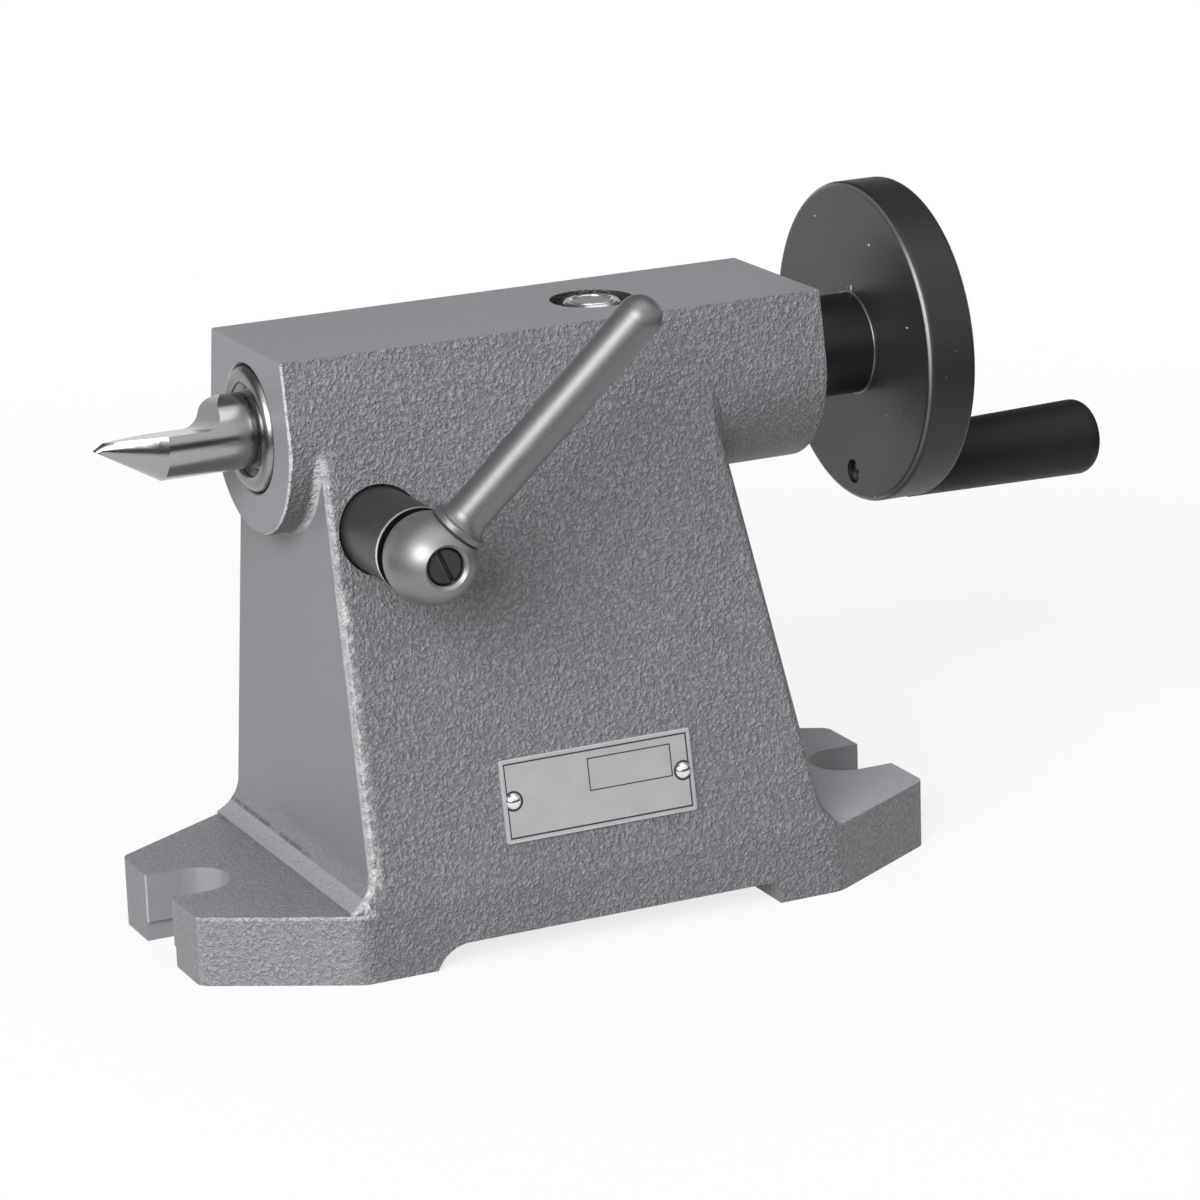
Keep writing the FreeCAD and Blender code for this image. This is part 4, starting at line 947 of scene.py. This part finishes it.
@dataclass
class NamePlate:
    """The bare plate: raised rim, filled lines, an empty frame and two rivets."""

    shop: Workshop
    seat: Point = (0.0, -0.04107, 0.0372)
    lean: float = 80.0
    length: float = 0.050
    width: float = 0.020
    thick: float = 0.0008
    rim: float = 0.00095
    line: float = 0.00034
    field_drop: float = 0.00014
    line_drop: float = 0.00022
    corner: float = 0.0006
    edge: float = 0.00018
    slope: float = 0.00006
    frame_low: Place = (-0.00245, -0.00095)
    frame_high: Place = (0.0195, 0.0070)
    rivet_place: float = 0.0223
    ring_inner: float = 0.0019
    ring_outer: float = 0.00245
    ring_depth: float = 0.0001
    ring_lift: float = 0.00005
    frame_line: float = 0.00028
    frame_lift: float = 0.00002
    frame_depth: float = 0.00006

    def place(self) -> Matrix:
        """From the plate's own frame, with Z outwards, to the object's."""
        return Matrix.Translation(self.seat) @ Matrix.Rotation(math.radians(self.lean), 4, "X")

    def sheet(self) -> bmesh.types.BMesh:
        """The sheet with its rim, its filled groove and its lower field.

        Returns:
            The sheet in the plate's own frame.
        """
        shape = bmesh.new()
        bmesh.ops.create_cube(shape, size=1.0)
        bmesh.ops.scale(shape, vec=(self.length, self.width, self.thick), verts=shape.verts)
        bmesh.ops.translate(shape, vec=(0, 0, self.thick / 2), verts=shape.verts)
        top = uppermost(shape)
        bmesh.ops.inset_region(shape, faces=[top], thickness=self.rim, use_even_offset=True)
        bmesh.ops.inset_region(shape, faces=[top], thickness=self.slope, use_even_offset=True)
        bmesh.ops.translate(shape, vec=(0, 0, -self.line_drop), verts=top.verts)
        ring = bmesh.ops.inset_region(shape, faces=[top], thickness=self.line, use_even_offset=True)
        for face in ring["faces"]:
            face.material_index = 1
        bmesh.ops.inset_region(shape, faces=[top], thickness=self.slope, use_even_offset=True)
        bmesh.ops.translate(shape, vec=(0, 0, self.line_drop - self.field_drop), verts=top.verts)
        upright = [edge for edge in shape.edges
                   if abs(edge.verts[0].co.z - edge.verts[1].co.z) > self.thick / 2]
        bmesh.ops.bevel(shape, geom=upright, offset=self.corner, affect="EDGES", segments=4,
                        profile=0.5, material=-1)
        brow = [e for e in shape.edges if self.on_brow(e)]
        bmesh.ops.bevel(shape, geom=brow, offset=self.edge, affect="EDGES", segments=2,
                        profile=0.5, material=-1)
        return shape

    def on_brow(self, edge: bmesh.types.BMEdge) -> bool:
        """Whether an edge lies on the sheet's upper outline."""
        middle = (edge.verts[0].co + edge.verts[1].co) / 2
        outer = max(abs(middle.x) - self.length / 2, abs(middle.y) - self.width / 2) > -self.corner
        level = min(corner.co.z for corner in edge.verts) > self.thick - 1e-6
        return outer and level and edge.calc_face_angle(0.0) > 1.0

    def frame(self) -> bmesh.types.BMesh:
        """The thin filled frame in the upper right of the field, left empty.

        Returns:
            The frame in the plate's own frame.
        """
        shape = bmesh.new()
        low, high = Vector(self.frame_low), Vector(self.frame_high)
        bmesh.ops.create_grid(shape, x_segments=1, y_segments=1, size=0.5)
        bmesh.ops.scale(shape, vec=(*(high - low), 1.0), verts=shape.verts)
        middle = (low + high) / 2
        level = self.thick - self.field_drop + self.frame_lift
        bmesh.ops.translate(shape, vec=(*middle, level), verts=shape.verts)
        inner = list(shape.faces)
        bmesh.ops.inset_region(shape, faces=inner, thickness=self.frame_line,
                               use_even_offset=True, use_boundary=True)
        bmesh.ops.delete(shape, geom=inner, context="FACES")
        grown = bmesh.ops.extrude_face_region(shape, geom=list(shape.faces))
        moved = [v for v in grown["geom"] if isinstance(v, bmesh.types.BMVert)]
        bmesh.ops.translate(shape, vec=(0, 0, -self.frame_depth), verts=moved)
        return shape

    def rivet_ring(self, side: int) -> bmesh.types.BMesh:
        """A dark ring round one rivet's head: painted shade of the gap.

        Args:
            side: -1 for the left rivet, 1 for the right.

        Returns:
            The ring in the plate's own frame.
        """
        level = self.thick - self.field_drop
        low, high = level - self.ring_depth, level + self.ring_lift
        outline = [(low, self.ring_inner), (high, self.ring_inner), (high, self.ring_outer),
                   (low, self.ring_outer)]
        return spun(outline, (side * self.rivet_place, 0, 0), (0, 0, 1), (1, 0, 0), 48)

    def build(self) -> None:
        """Make the plate's pieces on the casting's drafted face."""
        finishes = self.shop.finishes
        filling_and_shade = finishes.line_enamel()
        pieces = {
            "plate_sheet": (self.sheet(), [finishes.made[Slot.PLATE], filling_and_shade], ["nameplate"]),
            "plate_frame": (self.frame(), [filling_and_shade], []),
            "rivet_ring_left": (self.rivet_ring(-1), [filling_and_shade], []),
            "rivet_ring_right": (self.rivet_ring(1), [filling_and_shade], []),
        }
        for name, (shape, finish, replaced) in pieces.items():
            bmesh.ops.transform(shape, matrix=self.place(), verts=shape.verts)
            self.shop.piece(name, shape, Body.HOUSING, Slot.PLATE, finish, replaces=replaced)
        self.shop.dress(finishes.made[Slot.RIVET], "nameplate_rivets")


@dataclass
class Spindle:
    """The quill, the half-centre and what drives them."""

    shop: Workshop

    def build(self) -> None:
        """Dress the sliding pieces."""
        made = self.shop.finishes.made
        self.shop.dress(made[Slot.MACHINED], "quill", "nut_pin", "feed_screw", "wheel_key")
        self.shop.dress(made[Slot.POLISHED], "half_center")
        self.shop.dress(made[Slot.BRONZE], "feed_nut")


@dataclass
class GuidePlug:
    """The round plug in the recess on top."""

    shop: Workshop
    rim_radius: float = 0.0051
    bead: float = 0.00045
    flatness: float = 0.6
    sunk: float = 0.0003

    def build(self) -> None:
        """Dress the plug and add its bright bead."""
        finishes = self.shop.finishes
        self.shop.dress(finishes.guide_steel(), "guide_screw")
        self.shop.dress(finishes.made[Slot.CAP], "oil_cap")
        low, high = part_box("guide_screw")
        middle = (low + high) / 2
        centre = (middle.x, middle.y, high.z)
        turns = [math.pi * i / 8 for i in range(9)]
        arc = [(self.flatness * self.bead * math.sin(t),
                self.rim_radius + self.bead * math.cos(t)) for t in turns]
        outline = [(-self.sunk, self.rim_radius + self.bead), *arc,
                   (-self.sunk, self.rim_radius - self.bead)]
        shape = spun(outline, centre, (0, 0, 1), (1, 0, 0), 64)
        self.shop.piece("guide_bead", shape, Body.HOUSING, Slot.MACHINED, [finishes.guide_rim()])


@dataclass
class Handwheel:
    """The wheel with its nut, the crank's spindle and the turning grip."""

    shop: Workshop
    face: float = 0.0925
    sunk: float = 0.0002
    hub_radius: float = 0.0125
    hub_round: float = 0.0004
    tip_height: float = 0.0906
    tip_radius: float = 0.0016
    tip_crown: float = 0.0003
    tip_dome: float = 0.0009
    tip_back: float = 0.0016
    fleck_height: float = 0.00022
    flecks: Tuple[Tuple[Place, Place], ...] = (
        ((-0.0102, 0.1513), (0.00050, 0.00032)),
        ((-0.0006, 0.1388), (0.00036, 0.00085)),
        ((0.0176, 0.1539), (0.00034, 0.00026)),
        ((-0.0287, 0.1341), (0.00042, 0.00024)),
    )

    def hub_fillet(self) -> bmesh.types.BMesh:
        """The small hollow between the hub and the wheel's near face."""
        turns = [math.pi / 2 * i / 6 for i in range(7)]
        radius = self.hub_round
        arc = [(-radius + radius * math.sin(t), self.hub_radius + radius - radius * math.cos(t))
               for t in turns]
        inside = self.hub_radius - self.sunk
        outline = [(self.sunk, inside), (-radius, inside), *arc,
                   (self.sunk, self.hub_radius + radius)]
        return spun(outline, (self.face, 0, AXIS_HEIGHT), (1, 0, 0), (0, 1, 0), 128)

    def spindle_tip(self) -> bmesh.types.BMesh:
        """The rounded end of the crank's spindle in the wheel's hole."""
        radius = self.tip_radius
        turns = [math.pi / 2 * i / 6 for i in range(7)]
        base = self.tip_crown + self.tip_dome
        dome = [(base - self.tip_dome * math.sin(t), radius * math.cos(t)) for t in turns[:-1]]
        outline = [(self.tip_back, radius), *dome, (self.tip_crown, 0.0), (self.tip_back, 0.0)]
        return spun(outline, (self.face, 0, self.tip_height), (1, 0, 0), (0, 1, 0), 32)

    def grains(self) -> bmesh.types.BMesh:
        """The few hard grains under the enamel of the near face.

        Returns:
            The grains, half sunk in the face.
        """
        shape = bmesh.new()
        for (across, height), (wide, tall) in self.flecks:
            made = bmesh.ops.create_icosphere(shape, subdivisions=3, radius=1.0)["verts"]
            bmesh.ops.scale(shape, vec=(self.fleck_height, wide, tall), verts=made)
            bmesh.ops.translate(shape, vec=(self.face, across, height), verts=made)
        return shape

    def build(self) -> None:
        """Make the wheel's small pieces and dress the rest."""
        finishes = self.shop.finishes
        made = finishes.made
        pieces = {
            "hub_fillet": (self.hub_fillet(), Slot.WHEEL, finishes.hub_joint()),
            "wheel_grains": (self.grains(), Slot.WHEEL, finishes.fleck_metal()),
            "spindle_tip": (self.spindle_tip(), Slot.DARK, finishes.dark_tip()),
        }
        for name, (shape, slot, finish) in pieces.items():
            self.shop.piece(name, shape, Body.HANDWHEEL, slot, [finish])
        self.shop.dress(made[Slot.WHEEL], "handwheel")
        self.shop.dress(made[Slot.DARK], "wheel_nut", "grip_washer", "grip_spindle")
        self.shop.dress(made[Slot.MACHINED], "wheel_washer")
        self.shop.dress(made[Slot.GRIP], "grip")


@dataclass
class QuillClamp:
    """The dark sleeve and cotter, and the silver lever that draws them together."""

    shop: Workshop

    def build(self) -> None:
        """Dress the clamp and its lever."""
        finishes = self.shop.finishes
        self.shop.dress(finishes.clamp_steel(), "clamp_sleeve")
        self.shop.dress(finishes.screw_steel(), "clamp_screw")
        self.shop.dress(finishes.clamp_bright(), "clamp_cotter")
        self.shop.dress(finishes.clamp_ring(), "lever_washer")
        self.shop.dress(finishes.silver_ball(), "lever_hub")
        self.shop.dress(finishes.made[Slot.LEVER], "lever_arm")


@dataclass
class SoftBox:
    """A large round lamp that looks at a point."""

    name: str
    toward: Point
    distance: float
    size: Place
    watts: float
    glossy: bool = True
    aim: Point = (0.0, 0.0, 0.08)

    def build(self) -> None:
        """Hang the lamp."""
        lamp = bpy.data.lights.new(self.name, "AREA")
        lamp.shape = "ELLIPSE"
        lamp.size, lamp.size_y = self.size
        lamp.energy = self.watts
        made = bpy.data.objects.new(self.name, lamp)
        bpy.context.scene.collection.objects.link(made)
        direction = Vector(self.toward).normalized()
        made.location = Vector(self.aim) + direction * self.distance
        made.rotation_euler = direction.to_track_quat("Z", "Y").to_euler()
        made.visible_glossy = self.glossy


@dataclass
class Studio:
    """White sweep, soft lamps and the photograph's camera."""

    eye: Point = (-0.4361, -0.9807, 0.3835)
    aim: Point = (0.02143, 0.0, 0.06951)
    roll: float = 2.016
    lens: float = 138.0
    ambient: float = 0.38
    floor_tone: float = 0.35
    flag_radius: float = 0.34
    flag_height: float = 0.13
    flag_gap: Place = (75.0, 140.0)
    flag_tone: float = 0.07
    ceiling: Colour = (0.16, 0.16, 0.165)
    glow: float = 0.78
    glow_reach: Place = (260.0, 620.0)
    lamps: List[SoftBox] = field(default_factory=lambda: [
        SoftBox("key_lamp", (-0.62, -0.62, 0.42), 1.9, (1.3, 1.1), 38.5),
        SoftBox("top_lamp", (0.10, -0.30, 0.94), 1.5, (1.7, 1.3), 5.5),
        SoftBox("rear_lamp", (0.40, 0.90, 0.10), 2.0, (1.5, 1.2), 14.0, glossy=False),
    ])

    def camera(self) -> None:
        """The camera at the photograph's place, angle and framing."""
        lens = bpy.data.cameras.new("photo_camera")
        lens.sensor_width = 36.0
        lens.lens = self.lens
        lens.clip_start, lens.clip_end = 0.01, 100.0
        made = bpy.data.objects.new("photo_camera", lens)
        bpy.context.scene.collection.objects.link(made)
        eye = Vector(self.eye)
        back = (eye - Vector(self.aim)).normalized()
        right = Vector((0, 0, 1)).cross(back).normalized()
        up = back.cross(right)
        turn = math.radians(self.roll)
        side = right * math.cos(turn) - up * math.sin(turn)
        top = right * math.sin(turn) + up * math.cos(turn)
        turned = Matrix((side, top, back)).transposed().to_4x4()
        made.matrix_world = Matrix.Translation(eye) @ turned
        bpy.context.scene.camera = made

    def seen(self, tree: ShaderTree) -> Wire:
        """1 where the camera, a gloss or a glass looks, 0 where light is only gathered."""
        path = tree.node("LightPath")
        camera, glossy, glass = [Wire(tree, path.outputs[f"Is {kind} Ray"])
                                 for kind in ("Camera", "Glossy", "Transmission")]
        return tree.math("MINIMUM", camera + glossy + glass, 1.0)

    def sky(self) -> None:
        """White round the object, a softer grey overhead and for the light it gives."""
        world = bpy.data.worlds.new("studio")
        world.use_nodes = True
        bpy.context.scene.world = world
        tree = ShaderTree(world.node_tree)
        x, y, z = tree.parts(tree.node("TexCoord").outputs["Generated"])
        rise = tree.smooth(z, 0.12, 0.35) * tree.smooth(y, -0.35, 0.15)
        shown = tree.mix(rise, (1.0, 1.0, 1.0), self.ceiling)
        plain = (self.ambient, self.ambient, 1.02 * self.ambient, 1.0)
        light = tree.node("Background", inputs={"Color": plain, "Strength": 1.0})
        view = tree.node("Background", inputs={"Color": shown, "Strength": 1.0})
        both = tree.blend(self.seen(tree), light, view)
        tree.node("OutputWorld", inputs={"Surface": both.outputs[0]})

    def floor(self) -> None:
        """A pale floor that keeps a soft shadow and turns white further out."""
        shape = bmesh.new()
        bmesh.ops.create_grid(shape, x_segments=1, y_segments=1, size=8.0)
        made = placed("studio_floor", shape)
        paper, tree = blank_material("white_paper")
        spot = tree.millimetres()
        away = tree.smooth(tree.length(spot), *self.glow_reach)
        matt = tree.node("BsdfDiffuse", inputs={"Color": (*(self.floor_tone,) * 3, 1.0)})
        pale = tree.node("BsdfDiffuse", inputs={"Color": (0.9, 0.9, 0.9, 1.0)})
        white = tree.node("Emission", inputs={"Color": (1.0, 1.0, 1.0, 1.0), "Strength": 1.0})
        near = tree.blend(self.glow + (1.0 - self.glow) * away, pale, white)
        both = tree.blend(self.seen(tree), matt, near)
        tree.node("OutputMaterial", inputs={"Surface": both.outputs[0]})
        made.data.materials.append(paper)

    def flag(self) -> None:
        """A low dark ring, seen only in shiny metal, as a studio's black card is."""
        shape = bmesh.new()
        bmesh.ops.create_circle(shape, cap_ends=False, segments=96, radius=self.flag_radius)
        low, high = self.flag_gap
        open_part = [corner for corner in shape.verts
                     if low < math.degrees(math.atan2(corner.co.y, corner.co.x)) < high]
        bmesh.ops.delete(shape, geom=open_part, context="VERTS")
        grown = bmesh.ops.extrude_edge_only(shape, edges=list(shape.edges))
        moved = [v for v in grown["geom"] if isinstance(v, bmesh.types.BMVert)]
        bmesh.ops.translate(shape, vec=(0, 0, self.flag_height), verts=moved)
        made = placed("studio_flag", shape)
        made.visible_camera = False
        made.visible_diffuse = False
        made.visible_shadow = False
        cloth, tree = blank_material("black_cloth")
        dark = tree.node("BsdfDiffuse", inputs={"Color": (*(self.flag_tone,) * 3, 1.0)})
        tree.node("OutputMaterial", inputs={"Surface": dark.outputs[0]})
        made.data.materials.append(cloth)

    def build(self) -> None:
        """Set the studio up."""
        bpy.context.scene.view_settings.view_transform = "Standard"
        self.camera()
        self.sky()
        self.floor()
        self.flag()
        for lamp in self.lamps:
            lamp.build()
        LOG.info("studio ready")


def corners(box: Tuple[Vector, Vector]) -> List[List[float]]:
    """A box as plain lists."""
    return [list(corner) for corner in box]


def main() -> None:
    """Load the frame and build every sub-assembly."""
    logging.basicConfig(level=logging.INFO, format="%(name)s: %(message)s")
    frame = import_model()
    shop = Workshop(frame["nodes"], Finishes())
    Studio().build()
    for part in (Casting, NamePlate, Spindle, GuidePlug, Handwheel, QuillClamp):
        part(shop).build()


if __name__ == "__main__":
    main()
